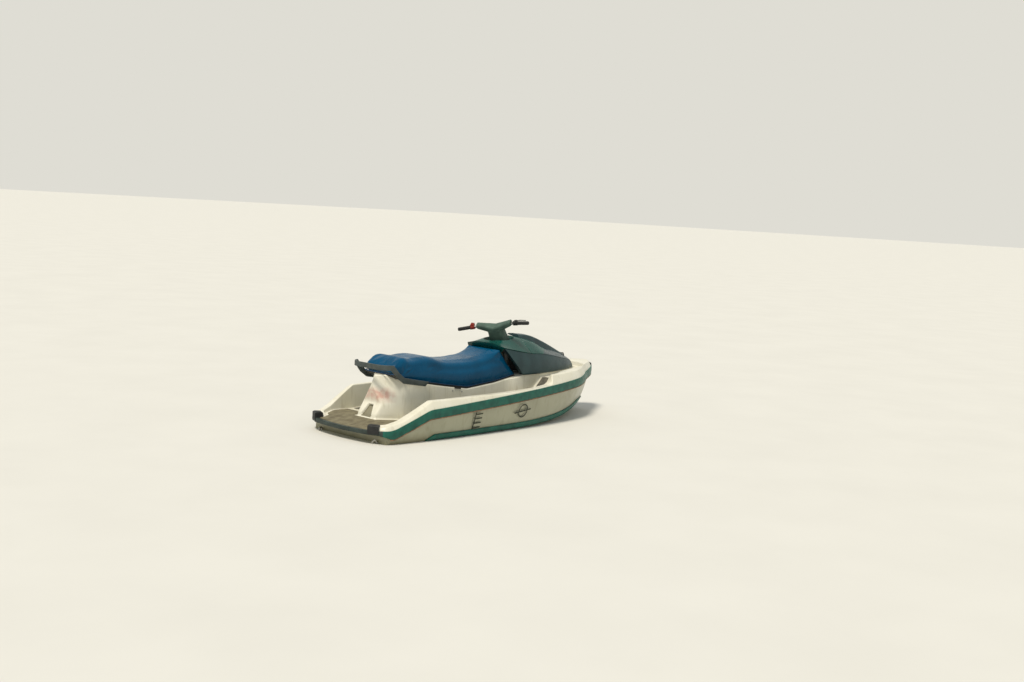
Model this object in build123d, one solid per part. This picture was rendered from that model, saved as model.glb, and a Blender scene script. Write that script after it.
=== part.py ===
"""Three-seat runabout watercraft, afloat and empty.

Millimetres. Origin on the centreline, amidships, at the waterline.
+X towards the bow, +Y to port, +Z up.
"""
from build123d import *
from math import cos, hypot, radians, sin, tan
import os

os.makedirs("parts", exist_ok=True)

# Deck outline from above, stern to bow: x, half breadth; then the bowed stern edge
OUTLINE = [
    (-1500, 450), (-1360, 486), (-1080, 538), (-640, 557), (-200, 560), (300, 540),
    (672, 499), (905, 446), (1060, 370), (1190, 284), (1330, 208), (1448, 138), (1521, 76), (1557, 0),
]
STERN_CORNER = (-1570, 319)
STERN_MID = -1603
CORNER_R = 60

# Side profiles: x, z
RAIL_TOP = [(-1700, 105), (-1430, 114), (-1095, 262), (1700, 434)]
RAIL_FOOT = [(-1700, 76), (-1530, 76), (-1430, 42), (-1095, 190), (1700, 362)]
CREST = [
    (-1700, 118), (-1570, 124), (-1443, 154), (-1345, 182), (-1070, 330), (-150, 337), (200, 345),
    (420, 362), (478, 442), (1100, 458), (1700, 474),
]
FLOOR = [(-1700, 94), (-1590, 98), (-1330, 140), (-1080, 126), (300, 150), (600, 446), (640, 700)]
SEAT_LINE = [
    (-1174, 492), (-1120, 461), (-835, 410), (-627, 376), (-347, 336), (0, 366), (272, 411),
]

# Rub rail, and the pads on its stern corners: y, y, z, z, depth
RAIL_HIGH = 72
RAIL_DEEP = 24
BUMPER_PROUD = 9
BUMPER_EDGE = 6
BUMPER_X = 1526
CORNER_PAD = (312, 404, 80, 154, 60)
CORNER_PAD_X = -1496

# Hull stations: x, keel z, chine y, chine z, top y, top z
STATIONS = [
    (-1476, -190, 430, -18, 466, 25), (-1000, -200, 484, 8, 540, 185), (-300, -200, 497, 12, 556, 235),
    (300, -185, 478, 22, 538, 270), (700, -140, 412, 52, 492, 300), (900, -98, 348, 80, 444, 315),
    (1060, -62, 282, 110, 368, 324), (1250, -25, 184, 150, 250, 334), (1340, 5, 132, 176, 206, 338),
    (1446, 196, 74, 240, 146, 343), (1500, 300, 36, 316, 102, 346), (1533, 345, 12, 350, 60, 352),
]
SPRAY_HIGH = 44
SPRAY_PROUD = 12
SPRAY_ENDS = [(-1090, -60), (1300, -60), (1240, 300), (-1030, 120), (-1030, 70)]
TRANSOM_X = STATIONS[0][0]

# Towing eyes: radius, bore, thickness, stub radius, gap to the transom
EYE_R = 24
EYE_BORE = 12
EYE_THICK = 10
EYE_STUB_R = 6
EYE_GAP = 4
EYE_TURN = 15
BOW_EYE = (1446, 0, 132)
STERN_EYE = (TRANSOM_X - EYE_GAP - EYE_R, 330, 8)

# Deck
DECK_STEP = 5
DECK_SLOPE = 0.53
GUNWALE_IN = 84
TRAY_IN = 74
TRAY_LOW = [(-1700, 40), (320, 40), (600, 300), (1700, 900)]
GUTTER = [(430, 436), (560, 426), (700, 366), (950, 300), (1100, 280), (1240, 200), (1335, 0)]
GUTTER_FLOOR = [(300, 378), (1400, 418)]
MAT_THICK = 5
MAT_MARGIN = 22
STERN_OPEN = 326

# Fuel cap: its foot, radius, height
FUEL_CAP = (720, 432, 410)
CAP_R = 34
CAP_HIGH = 34

# Pedestal under the seat, and its back end by levels: z, x, half breadth
PEDESTAL_X = -1060
PEDESTAL_HALF = 214
PEDESTAL_LEAN = 1.6
PEDESTAL_RIDGE = (-1194, 488)
PEDESTAL_NECK = (140, 240, 266)
RAMP = [(40, -1310, 112), (168, -1310, 112), (262, -1250, 112), (409, -1262, 6), (520, -1220, 6)]
WINDOW = [(-30, -28), (30, -28), (56, 44), (-56, 44)]
WINDOW_DEEP = 22

# Cowl and hood stations: x, foot y, split y, split z, shoulder y, shoulder z, crown z
COWL = [
    (30, 248, 222, 676, 100, 688, 690), (150, 268, 243, 650, 110, 722, 730),
    (300, 280, 255, 624, 112, 743, 752), (450, 280, 252, 604, 108, 727, 737),
    (600, 268, 238, 592, 104, 690, 700), (750, 246, 214, 568, 98, 630, 642),
    (930, 205, 172, 535, 84, 584, 604), (1100, 148, 118, 504, 56, 534, 550),
    (1235, 78, 58, 468, 26, 486, 500), (1290, 26, 18, 440, 8, 458, 463),
]
COWL_FOOT = 425
COWL_WALL = 14
COWL_OVER = 7
HOOD_WALL = 7
HOOD_X = 414
NOSE_X = 1146
NOSE_SOLID_X = NOSE_X + 116
LID_GAP = 6
COWL_REAR = [(285, 400), (285, 430), (58, 690), (58, 900)]
SPINE = [(430, 62, 768), (600, 66, 749), (750, 62, 702), (930, 50, 634), (1100, 30, 566), (1135, 24, 553)]
HINGE_X = NOSE_X - 3
HINGE_Z = 552
HINGE_PIN = 4
HINGE_EYE = 7
HINGE_WIDE = (12, 16, 22)
BIN = (480, 900, 118, 84, 6)

# Seat: top line x, z
SEAT_TOP = [
    (-1212, 560), (-1196, 606), (-1150, 634), (-1090, 644), (-1020, 631), (-950, 629), (-830, 634),
    (-720, 610), (-625, 586), (-500, 574), (-300, 574), (-120, 596), (20, 640),
]
SEAT_HALF = 198
SEAT_PAN = 14
SEAT_FRONT = [(50, 664), (262, 428)]
SEAT_CORNER = 70

# Grab rail: outer size in plan, and its lower and upper edge in side view
GRAB_HALF = 234
GRAB_BACK = -1324
GRAB_CORNER = 130
GRAB_WIDE = 16
GRAB_SIDE = [
    (-835, 432), (-880, 396), (-1000, 414), (-1120, 434), (-1190, 480), (-1250, 546), (-1400, 546),
    (-1400, 588), (-1236, 588), (-1176, 524), (-1120, 484), (-1000, 460),
]
GRAB_LUGS = [(-1100, 457.4), (-880, 418)]
LUG_HALF = 10

# Steering: pivot point, rake of its axis, angle it rests at, turned to port
STEER_X = 180
STEER_Z = 840
RAKE = 30
STEER_REST = 20
SHAFT_R = 12
SHAFT_SPAN = (-360, -26)
BEARING_Z = -290
NECK_FOOT = -196
PAD_NECK = [(NECK_FOOT, 92, 62), (-110, 79, 52), (-28, 74, 46)]
PAD_ARMS = [(-168, 20, 58, 50), (0, -28, 96, 68), (168, 20, 58, 50)]
BAR_R = 11
BAR_HALF = 350
GRIP_R = 16
SWITCH_Y = 209
RUN_FIT = 0.05

# Pump tunnel, pump, nozzle, gate
JET_Z = -95
TUNNEL = (-1500, -800, 115, -8)
PLATE_Z = (-190, -138, 6)
PUMP_X = (-1360, -1110)
PUMP_R = 80
PUMP_BORE = 70
IMPELLER_R = 63
HUB_R = 28
NOZZLE_X = -1382
NOZZLE_END = -1484
NOZZLE_R = 46
NOZZLE_BORE = 39
NOZZLE_PIN = 6
NOZZLE_RATIO = 0.6
GATE_X = -1438
GATE_R = 73
GATE_WALL = 5
GATE_PIN = 5

# Engine bay and engine
BAY = (-740, 190, 120, -125)
ENGINE = (-600, -150, 108, 240)

STERN_X = OUTLINE[0][0]


def corner_in(before, here, after, inset):
    """Corner of a path moved to its left, so that both sides move by inset."""
    (x0, y0), (x1, y1), (x2, y2) = before, here, after
    first, second = hypot(x1 - x0, y1 - y0), hypot(x2 - x1, y2 - y1)
    a, b = (y0 - y1) / first, (x1 - x0) / first
    c, d = (y1 - y2) / second, (x2 - x1) / second
    share = inset / (1 + a * c + b * d)
    return (x1 + share * (a + c), y1 + share * (b + d))


def outline(inset):
    """Deck outline as a face, moved in by inset."""
    ring = [(x, -y) for x, y in OUTLINE] + [(x, y) for x, y in OUTLINE[-2::-1]]
    side = []
    for (x0, y0), (x, y), (x1, y1) in zip(ring, ring[1:], ring[2:]):
        run = hypot(x1 - x0, y1 - y0)
        side.append((x - inset * (y1 - y0) / run, y + inset * (x1 - x0) / run))
    port = corner_in(ring[-2], ring[-1], STERN_CORNER, inset)
    stern = corner_in(ring[-1], STERN_CORNER, (STERN_MID, 0), inset)
    star, other = (port[0], -port[1]), (stern[0], -stern[1])
    arc = ThreePointArc(stern, (STERN_MID + inset, 0), other)
    edges = [Spline(star, *side, port), Line(port, stern), arc, Line(other, star)]
    face = make_face([edge.edge() for edge in edges])
    corners = [v for v in face.vertices() if abs(abs(v.Y) - port[1]) < 0.01]
    return fillet(corners, max(CORNER_R - inset, 12))


def prism(inset, low=-400, high=900):
    """Upright prism on the deck outline."""
    return Pos(0, 0, low) * extrude(outline(inset), amount=high - low)


def across(points, half=700):
    """Side profile x, z pushed across the boat."""
    face = make_face(Polyline(*points, close=True))
    return extrude(Plane.XZ * face, amount=half, both=True)


def under(line, rise=0.0, half=700):
    """All that lies below a side profile."""
    points = [(x, z + rise) for x, z in line]
    x0, x1 = points[0][0], points[-1][0]
    return across([(x0, -500), *points, (x1, -500)], half)


def block(x0, x1, y0, y1, z0, z1):
    """Box between six limits."""
    return Pos((x0 + x1) / 2, (y0 + y1) / 2, (z0 + z1) / 2) * Box(x1 - x0, y1 - y0, z1 - z0)


def mirrored(points):
    """Points x, half breadth closed over the centreline as a face."""
    ring = [(x, -y) for x, y in points] + [(x, y) for x, y in reversed(points)]
    kept = [p for k, p in enumerate(ring) if p != ring[k - 1]]
    return make_face(Polyline(*kept, close=True))


def both_sides(part):
    """A port piece and its mirror image."""
    return [part, mirror(part, about=Plane.XZ)]


def rod(start, end, radius):
    """Round bar between two points."""
    run = Vector(*end) - Vector(*start)
    return Plane(origin=start, z_dir=run) * Pos(0, 0, run.length / 2) * Cylinder(radius, run.length)


def tube(points, radius):
    """Round bars through points with ball corners."""
    bars = [rod(a, b, radius) for a, b in zip(points, points[1:])]
    balls = [Pos(*p) * Sphere(radius) for p in points[1:-1]]
    body = bars[0]
    for piece in bars[1:] + balls:
        body += piece
    return body


def save(name, part):
    """Write one node."""
    shapes = list(part) if isinstance(part, (list, tuple)) else [part]
    solids = [solid for shape in shapes for solid in shape.solids()]
    export_step(solids[0] if len(solids) == 1 else Compound(children=solids), f"parts/{name}.step")


# Hull


def hull_form(extra=0.0):
    """Ruled hull through the stations."""
    faces = []
    for x, keel, chine_y, chine_z, top_y, top_z in STATIONS:
        half = [(0, keel), (chine_y + extra, chine_z), (top_y + extra, top_z), (top_y + extra, 520)]
        ring = half + [(-y, z) for y, z in reversed(half[1:])]
        plane = Plane(origin=(x, 0, 0), x_dir=(0, 1, 0), z_dir=(1, 0, 0))
        faces.append(plane * make_face(Polyline(*ring, close=True)))
    return loft(faces, ruled=True)


def tray():
    """Block of the deck moulding that hangs down into the hull."""
    return prism(TRAY_IN, 0, 420) - under(TRAY_LOW)


def engine_bay():
    """Space under the seat."""
    x0, x1, half, floor = BAY
    return block(x0, x1, -half, half, floor, 600)


def pump_tunnel():
    """Space round the pump, open below and aft."""
    x0, x1, half, roof = TUNNEL
    return block(x0, x1, -half, half, -400, roof)


def eye(point, stub, turn=0):
    """Flat towing eye and the stub that runs from it into the hull, turned about its upright."""
    across_boat = Rot(90, 0, 0)
    body = across_boat * Cylinder(EYE_R, EYE_THICK) + rod((0, 0, 0), (stub, 0, 0), EYE_STUB_R)
    body -= across_boat * Cylinder(EYE_BORE, 3 * EYE_THICK)
    return Pos(*point) * Rot(0, 0, turn) * body


def bow_eye():
    """Towing eye on the stem."""
    return eye(BOW_EYE, -90)


def stern_eyes():
    """Towing eyes on the transom, turned towards the middle."""
    return both_sides(eye(STERN_EYE, 80, EYE_TURN))


def hull_shell():
    """Hull up to the joint behind the rub rail."""
    body = hull_form() & prism(RAIL_DEEP)
    body &= under(RAIL_TOP, -RAIL_HIGH / 2)
    body -= tray()
    body -= engine_bay()
    body -= pump_tunnel()
    body -= rod((BAY[0] + 10, 0, JET_Z), (TUNNEL[1] - 10, 0, JET_Z), SHAFT_R + 6)
    for part in [bow_eye(), *stern_eyes()]:
        body -= part
    return body


def spray_rails():
    """Strip along each chine."""
    line = [(x, chine_z) for x, _, _, chine_z, _, _ in STATIONS[:-2]]
    strip = hull_form(SPRAY_PROUD) - hull_form()
    strip &= under(line, SPRAY_HIGH - 2)
    strip -= under(line, -2)
    return strip & across(SPRAY_ENDS)


def rub_rail():
    """Band round the hull and deck joint."""
    ring = prism(0, -100, 600) - prism(RAIL_DEEP, -110, 610)
    return (ring & under(RAIL_TOP)) - under(RAIL_FOOT)


def rail_cover():
    """Thin layer over the middle of the rub rail."""
    ring = prism(-BUMPER_PROUD, -100, 600) - prism(0, -110, 610)
    return (ring & under(RAIL_TOP, -BUMPER_EDGE)) - under(RAIL_TOP, BUMPER_EDGE - RAIL_HIGH)


def bow_bumper():
    """Pad on the tip of the rub rail."""
    return rail_cover() & block(BUMPER_X, 1700, -200, 200, 0, 600)


def corner_pads():
    """Rubber blocks over the stern corners of the rub rail."""
    y0, y1, z0, z1, deep = CORNER_PAD
    port = (prism(-BUMPER_PROUD, z0, z1) - prism(deep)) & block(-1700, CORNER_PAD_X, y0, y1, z0, z1)
    return both_sides(port - rub_rail() - (prism(DECK_STEP) & under(CREST)))


# Deck


def ramp():
    """Back end of the pedestal: a sloping foot that narrows upward to a ridge."""
    faces = []
    for z, x, half in RAMP:
        side = PEDESTAL_HALF - (z - RAMP[0][0]) * tan(radians(PEDESTAL_LEAN))
        plan = mirrored([(x, half), (PEDESTAL_X, side), (PEDESTAL_X + 20, side)])
        faces.append(Pos(0, 0, z) * plan)
    return loft(faces, ruled=True)


def ramp_window():
    """Sunk panel in the slope of the ramp, wider at its foot."""
    (_, _, _), (z0, x0, _), (z1, x1, _), *_ = RAMP
    slope = Plane(
        origin=((x0 + x1) / 2, 0, (z0 + z1) / 2), x_dir=(0, 1, 0), z_dir=(z0 - z1, 0, x1 - x0)
    )
    return extrude(slope * make_face(Polyline(*WINDOW, close=True)), amount=WINDOW_DEEP, both=True)


def pedestal_side(margin=0):
    """Side of the pedestal in plan as far as the cowl, moved out by a margin."""
    narrow, wide, half = PEDESTAL_NECK
    side = PEDESTAL_HALF + margin
    return [(PEDESTAL_X, side), (narrow, side), (wide, half + margin)]


def pedestal():
    """Raised middle that carries seat and cowl."""
    plan = pedestal_side() + [(x, foot - COWL_OVER) for x, foot, *_ in COWL if x >= 300]
    body = Pos(0, 0, RAMP[0][0]) * extrude(mirrored(plan), amount=600, taper=PEDESTAL_LEAN)
    body += ramp() - ramp_window()
    line = [(-1700, PEDESTAL_RIDGE[1]), PEDESTAL_RIDGE] + SEAT_LINE
    line += [(COWL_REAR[0][0] + 3, COWL_FOOT), (1700, COWL_FOOT)]
    return (body & under(line)) - (under(RAIL_TOP, -RAIL_HIGH / 2) - tray())


def gunwale():
    """Sloping face above the rub rail, solid to the middle."""
    pitch = (RAIL_TOP[3][1] - RAIL_TOP[2][1]) / (RAIL_TOP[3][0] - RAIL_TOP[2][0])
    foot = Plane(
        origin=(RAIL_TOP[2][0], 0, RAIL_TOP[2][1] - 4), x_dir=(1, 0, pitch), z_dir=(-pitch, 0, 1)
    )
    faces = [
        foot * Pos(-RAIL_TOP[2][0], 0, rise) * outline(DECK_STEP + rise * DECK_SLOPE)
        for rise in (-190, 130)
    ]
    return (loft(faces, ruled=True) & prism(DECK_STEP, 60, 600)) - under(RAIL_TOP)


def footwells():
    """Space for the feet, open at the stern."""
    plan = outline(GUNWALE_IN)
    space = Pos(0, 0, 0) * extrude(plan, amount=900)
    space += block(-1700, STERN_X + GUNWALE_IN + 60, -STERN_OPEN, STERN_OPEN, 0, 900)
    space &= block(-1700, FLOOR[-1][0], -700, 700, 0, 900)
    return space - under(FLOOR)


def gutter():
    """Sunk strip round the cowl."""
    space = Pos(0, 0, 0) * extrude(mirrored([(430, 0)] + GUTTER), amount=900)
    return space - under(GUTTER_FLOOR)


def deck_moulding():
    """Deck, footwells, ramp and pedestal in one."""
    joint = -RAIL_HIGH / 2
    body = (prism(RAIL_DEEP, 0, 600) & under(RAIL_TOP)) - under(RAIL_TOP, joint)
    body += gunwale()
    body &= under(CREST)
    body += tray() & under(CREST)
    body -= footwells()
    body -= gutter()
    body += pedestal()
    body -= engine_bay()
    x, y, z = FUEL_CAP
    return body - Pos(x, y, z + 30) * Cylinder(CAP_R, 60)


def mat(x0, x1, margin):
    """Sheet on the footwell floor between two stations."""
    plan = outline(GUNWALE_IN + margin)
    area = extrude(plan, amount=900) & block(x0, x1, -700, 700, 0, 900)
    core = pedestal_side(margin) + [(COWL[5][0] + 10, max(row[1] for row in COWL) + margin)]
    area -= extrude(mirrored(core), amount=900)
    return (area & under(FLOOR, MAT_THICK)) - under(FLOOR)


def footwell_mats():
    """Ribbed mats in the footwells."""
    return mat(-1060, 280, MAT_MARGIN)


def toe_mats():
    """Mats on the sloping front ends."""
    return mat(322, 560, MAT_MARGIN)


def platform_mat():
    """Mat on the stern platform."""
    half = STERN_OPEN - MAT_MARGIN
    area = extrude(outline(GUNWALE_IN + MAT_MARGIN), amount=900)
    area += extrude(outline(RAIL_DEEP + 6), amount=900) & block(-1700, STERN_X + 100, -half, half, 0, 900)
    area &= block(-1700, -1150, -700, 700, 0, 900)
    core = [(RAMP[0][1] - MAT_MARGIN, RAMP[0][2] + MAT_MARGIN), (PEDESTAL_X, PEDESTAL_HALF + MAT_MARGIN)]
    area -= extrude(mirrored(core), amount=900)
    return (area & under(FLOOR, MAT_THICK)) - under(FLOOR)


def fuel_cap():
    """Screw cap on the port side of the foredeck."""
    x, y, z = FUEL_CAP
    cap = Pos(x, y, z + CAP_HIGH / 2) * Cylinder(CAP_R, CAP_HIGH)
    return cap - Pos(x, y, z + CAP_HIGH - 2) * Box(80, 8, 6)


# Cowl and hood


def cowl_form(inset=0.0, low=COWL_FOOT, drop=0.0):
    """Ruled solid through the cowl stations."""
    faces = []
    for x, foot, split_y, split_z, side_y, side_z, crown in COWL:
        side = max(side_y - inset * 0.7, 2)
        half = [(max(foot - inset, 4), low), (max(split_y - inset, 3), split_z)]
        half += [(side, side_z - drop), (0, crown - drop)]
        ring = half + [(-y, z) for y, z in reversed(half[:-1])]
        plane = Plane(origin=(x, 0, 0), x_dir=(0, 1, 0), z_dir=(1, 0, 0))
        faces.append(plane * make_face(Polyline(*ring, close=True)))
    return loft(faces, ruled=True)


def split_line():
    """Height where cowl meets hood."""
    return [(x, split_z) for x, _, _, split_z, _, _, _ in COWL]


def cowl_rear():
    """All that lies behind the sloping rear edge."""
    (x0, z0), (x1, z1), (x2, z2), (x3, z3) = COWL_REAR
    return across([(x0, z0), (x1, z1), (x2, z2), (x3, z3), (-200, z3), (-200, z0)])


def steering_place():
    """Local frame of the steering, z along its raked axis, at its rest angle."""
    rake = radians(RAKE)
    pivot = Plane(
        origin=(STEER_X, 0, STEER_Z), x_dir=(cos(rake), 0, sin(rake)), z_dir=(-sin(rake), 0, cos(rake))
    )
    return pivot.location * Rot(0, 0, STEER_REST)


def neck_space():
    """Room for the turning neck in the cowl top."""
    return steering_place() * Pos(0, 0, NECK_FOOT - 6 + 150) * Cylinder(128, 300)


def shell():
    """Cowl and hood as one hollow form."""
    room = cowl_form(COWL_WALL, COWL_FOOT - 10, HOOD_WALL) & block(-100, NOSE_SOLID_X, -400, 400, 300, 900)
    return cowl_form() - room - cowl_rear()


def cowl():
    """Lower cowl, fixed to the deck."""
    body = shell() & under(split_line())
    return body - neck_space()


def upper_cowl():
    """Fixed top of the cowl round the steering."""
    body = (shell() - under(split_line())) & block(-100, HOOD_X - LID_GAP, -400, 400, 300, 900)
    shelf = cowl_form(HOOD_WALL) & block(40, HOOD_X - LID_GAP, -400, 400, 300, 900)
    shelf &= steering_place() * Pos(0, 0, NECK_FOOT - 6 - 5) * Cylinder(150, 10)
    shelf -= under(split_line(), 2)
    body = body + shelf - neck_space()
    return body - steering_place() * Cylinder(SHAFT_R + 8, 900)


def hood():
    """Opening hood over the bow storage."""
    body = shell() - under(split_line(), LID_GAP)
    return body & block(HOOD_X, NOSE_X - LID_GAP, -400, 400, 300, 900)


def hood_spine():
    """Raised strip along the middle of the hood."""
    faces = []
    for x, half, top in SPINE:
        ring = [(half, COWL_FOOT + 12), (half - 8, top - 16), (half * 0.45, top), (-half * 0.45, top)]
        ring += [(8 - half, top - 16), (-half, COWL_FOOT + 12)]
        plane = Plane(origin=(x, 0, 0), x_dir=(0, 1, 0), z_dir=(1, 0, 0))
        faces.append(plane * make_face(Polyline(*ring, close=True)))
    half = HINGE_WIDE[0]
    knuckle = block(HINGE_X - 40, HINGE_X - 2, -half, half, HINGE_Z - 20, HINGE_Z)
    body = loft(faces, ruled=True) + knuckle - cowl_form() + hinge_bar(HINGE_EYE, half)
    return body - hinge_bar(HINGE_PIN + RUN_FIT, 40)


def hinge_bar(radius, half):
    """Round bar on the hood's hinge axis."""
    return Pos(HINGE_X, 0, HINGE_Z) * Rot(90, 0, 0) * Cylinder(radius, 2 * half)


def nose_cap():
    """Fixed nose in front of the hood."""
    body = shell() - under(split_line())
    return body & block(NOSE_X, 1400, -400, 400, 300, 900)


def hood_hinge():
    """Two ears on the nose with the hinge pin between them."""
    x, z = HINGE_X, HINGE_Z
    side = [(x + 7, 440), (x + 7, z - 9), (x - 5, z - 4), (x, z + 7)]
    side += [(x + 9, z + 2), (x + 38, 500), (x + 38, 440)]
    _, space, half = HINGE_WIDE
    ears = across(side, half) - block(x - 50, x + 50, -space, space, 400, z + 20)
    return (ears - cowl_form()) + hinge_bar(HINGE_PIN, half)


def storage_bin():
    """Open tub under the hood."""
    x0, x1, half, high, wall = BIN
    tub = block(x0, x1, -half, half, COWL_FOOT, COWL_FOOT + high)
    return tub - block(x0 + wall, x1 - wall, wall - half, half - wall, COWL_FOOT + wall, 900)


# Seat


def seat_pan_line():
    """Top of the seat pan, which is the foot of the cushion."""
    return [(x, z + SEAT_PAN) for x, z in SEAT_LINE]


def seat_cushion():
    """Long stepped cushion."""
    foot = seat_pan_line()
    top = Spline(*SEAT_TOP).edge()
    tail = Polyline(SEAT_TOP[-1], SEAT_FRONT[0], SEAT_FRONT[1], *reversed(foot), SEAT_TOP[0])
    face = make_face([top, *tail.edges()])
    body = extrude(Plane.XZ * face, amount=SEAT_HALF, both=True)
    sides = [e for e in body.edges() if abs(abs(e.center().Y) - SEAT_HALF) < 1]
    body = fillet([e for e in sides if e.center().X < SEAT_TOP[0][0] + 30], SEAT_CORNER)
    high = [e for e in body.edges() if abs(abs(e.center().Y) - SEAT_HALF) < 1 and e.length > 1000]
    high = [e for e in high if e.center().Z > 540]
    return fillet(high, 44)


def seat_pan():
    """Stiff base under the cushion with lugs for the grab rail."""
    half = SEAT_HALF - 8
    points = SEAT_LINE + [(x, z + SEAT_PAN) for x, z in reversed(SEAT_LINE)]
    body = across(points, half) & block(-1400, SEAT_LINE[-1][0] - 6, -half, half, 0, 900)
    rim = GRAB_HALF - GRAB_WIDE / 2
    for x, z in GRAB_LUGS:
        for side in (-1, 1):
            y0, y1 = sorted((side * (half - 2), side * rim))
            body += block(x - LUG_HALF, x + LUG_HALF, y0, y1, z + 3, z + 11)
    return body


def grab_plan(inset):
    """Outline of the grab rail in plan, square at the front and round at the back corners."""
    back, half, corner = (size - inset for size in (-GRAB_BACK, GRAB_HALF, GRAB_CORNER))
    side = Polyline((-780, half), (corner - back, half))
    bend = RadiusArc((corner - back, half), (-back, half - corner), -corner)
    rear = Polyline((-back, half - corner), (-back, 0))
    port = side.edges() + bend.edges() + rear.edges()
    other = mirror(port, about=Plane.XZ)
    front = Polyline((-780, -half), (-780, half))
    return make_face([*port, *other, *front.edges()])


def grab_handle():
    """Flat moulded rail along the seat foot and round its back."""
    ring = extrude(grab_plan(0), amount=900) - extrude(grab_plan(GRAB_WIDE), amount=900)
    return (ring & across(GRAB_SIDE, 300)) - seat_pan()


# Steering


def steering_shaft():
    """Shaft from the pad down to a lever inside the cowl."""
    low, high = SHAFT_SPAN
    body = Pos(0, 0, (low + high) / 2) * Cylinder(SHAFT_R, high - low)
    body += Pos(25, 0, low + 8) * Box(74, 2 * SHAFT_R, 16)
    return steering_place() * body


def steering_mount():
    """Bearing tube and bracket that hold the shaft."""
    place = steering_place()
    body = place * Pos(0, 0, BEARING_Z) * Cylinder(SHAFT_R + 10, 90)
    leg = block(292, 392, -60, 60, COWL_FOOT, COWL_FOOT + 10)
    leg += block(312, 342, 24, 60, COWL_FOOT, 590) + block(312, 342, -60, -24, COWL_FOOT, 590)
    arm = place * Pos(0, 0, BEARING_Z) * Rot(0, 0, -STEER_REST) * Box(26, 120, 60)
    body = body + leg + arm
    body -= place * Pos(0, 0, BEARING_Z) * Cylinder(SHAFT_R + RUN_FIT, 120)
    return body


def bar_path():
    """Handlebar centre line in the steering frame."""
    side = [(-34, BAR_HALF, 18), (-10, 190, 18), (0, 60, -10)]
    return side + [(x, -y, z) for x, y, z in reversed(side)]


def handlebar():
    """Bent tube across the pad."""
    return steering_place() * tube(bar_path(), BAR_R)


def steering_pad():
    """Moulded neck that forks into two padded arms."""
    levels = []
    for z, half_y, half_x in PAD_NECK:
        levels.append(Pos(0, 0, z) * RectangleRounded(2 * half_x, 2 * half_y, half_x * 0.7))
    body = loft(levels, ruled=True)
    sections = []
    for y, z, deep, high in PAD_ARMS:
        place = Plane(origin=(0, y, z), x_dir=(1, 0, 0), z_dir=(0, 1, 0))
        sections.append(place * RectangleRounded(deep, high, 18))
    body += loft(sections, ruled=True)
    return steering_place() * body - handlebar() - steering_shaft()


def on_bar(reach):
    """Point on the straight part of the port bar at a distance across."""
    (x0, y0, z0), (x1, y1, z1) = bar_path()[:2]
    t = (reach - y1) / (y0 - y1)
    return (x1 + t * (x0 - x1), reach, z1 + t * (z0 - z1))


def sleeve(start, end, radius):
    """Sleeve on the port bar between two distances across."""
    return rod(on_bar(start), on_bar(end), radius)


def grips():
    """Rubber grips."""
    place, bar = steering_place(), handlebar()
    grip = sleeve(232, BAR_HALF - 1, GRIP_R) + sleeve(228, 234, GRIP_R + 6)
    return [place * piece - bar for piece in both_sides(grip)]


def throttle_housing():
    """Clamp of the throttle on the starboard bar."""
    body = mirror(sleeve(196, 222, 21), about=Plane.XZ)
    x, y, z = on_bar(SWITCH_Y)
    body += Pos(x + 22, -y, z) * Box(34, 26, 22)
    return steering_place() * body - handlebar()


def throttle_lever():
    """Finger lever in front of the starboard grip."""
    x, y, z = on_bar(SWITCH_Y)
    path = [(x + 39, -y, z), (x + 44, -y - 40, z), (x + 30, -y - 96, z)]
    return steering_place() * tube(path, 5) - throttle_housing()


def stop_switch():
    """Switch body on the port bar."""
    x, y, z = on_bar(SWITCH_Y)
    body = sleeve(192, 226, 22) + Pos(x + 4, y, z + 20) * Box(36, 32, 20)
    return steering_place() * body - handlebar()


def stop_button():
    """Round button on the switch body."""
    x, y, z = on_bar(SWITCH_Y)
    return steering_place() * Pos(x + 4, y, z + 35) * Cylinder(9, 10)


# Engine and jet


def engine_block():
    """Engine as one plain block with a shaft bearing."""
    x0, x1, half, top = ENGINE
    body = block(x0, x1, -half, half, BAY[3], top - 90)
    body += block(x0 + 60, x1 - 60, -70, 70, top - 90, top)
    return body - rod((x0 - 10, 0, JET_Z), (x0 + 60, 0, JET_Z), SHAFT_R + RUN_FIT)


def impeller():
    """Drive shaft and three-bladed impeller."""
    front = ENGINE[0] + 50
    body = rod((front, 0, JET_Z), (PUMP_X[0] + 10, 0, JET_Z), SHAFT_R)
    body += rod((-1290, 0, JET_Z), (-1210, 0, JET_Z), HUB_R)
    for turn in (0, 120, 240):
        one = Pos(0, 0, (IMPELLER_R + 20) / 2) * Rot(0, 0, 35) * Box(70, 6, IMPELLER_R - 20)
        body += Pos(-1250, 0, JET_Z) * Rot(turn, 0, 0) * one
    return body


def pump_housing():
    """Pump tube with flange, stator hub and nozzle lugs."""
    x0, x1 = PUMP_X
    half, roof = TUNNEL[2], TUNNEL[3]
    body = rod((x0, 0, JET_Z), (x1, 0, JET_Z), PUMP_R)
    body += block(x1 - 20, x1, -half, half, PLATE_Z[0] + 20, roof)
    body -= rod((x0 - 5, 0, JET_Z), (x1 + 5, 0, JET_Z), PUMP_BORE)
    body += rod((x0, 0, JET_Z), (x0 + 50, 0, JET_Z), HUB_R)
    for turn in (45, 135):
        body += Pos(x0 + 25, 0, JET_Z) * Rot(turn, 0, 0) * Box(40, 5, 2 * PUMP_BORE + 4)
    body -= rod((x0 + 8, 0, JET_Z), (x0 + 60, 0, JET_Z), SHAFT_R + RUN_FIT)
    for side in (-1, 1):
        z0, z1 = sorted((JET_Z + side * 52, JET_Z + side * 62))
        body += block(NOZZLE_X - 12, x0 + 12, -14, 14, z0, z1)
        body += block(x0, x0 + 12, -14, 14, *sorted((JET_Z + side * 52, JET_Z + side * 74)))
        body -= Pos(NOZZLE_X, 0, JET_Z + side * 57) * Cylinder(NOZZLE_PIN + RUN_FIT, 30)
    return body


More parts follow.
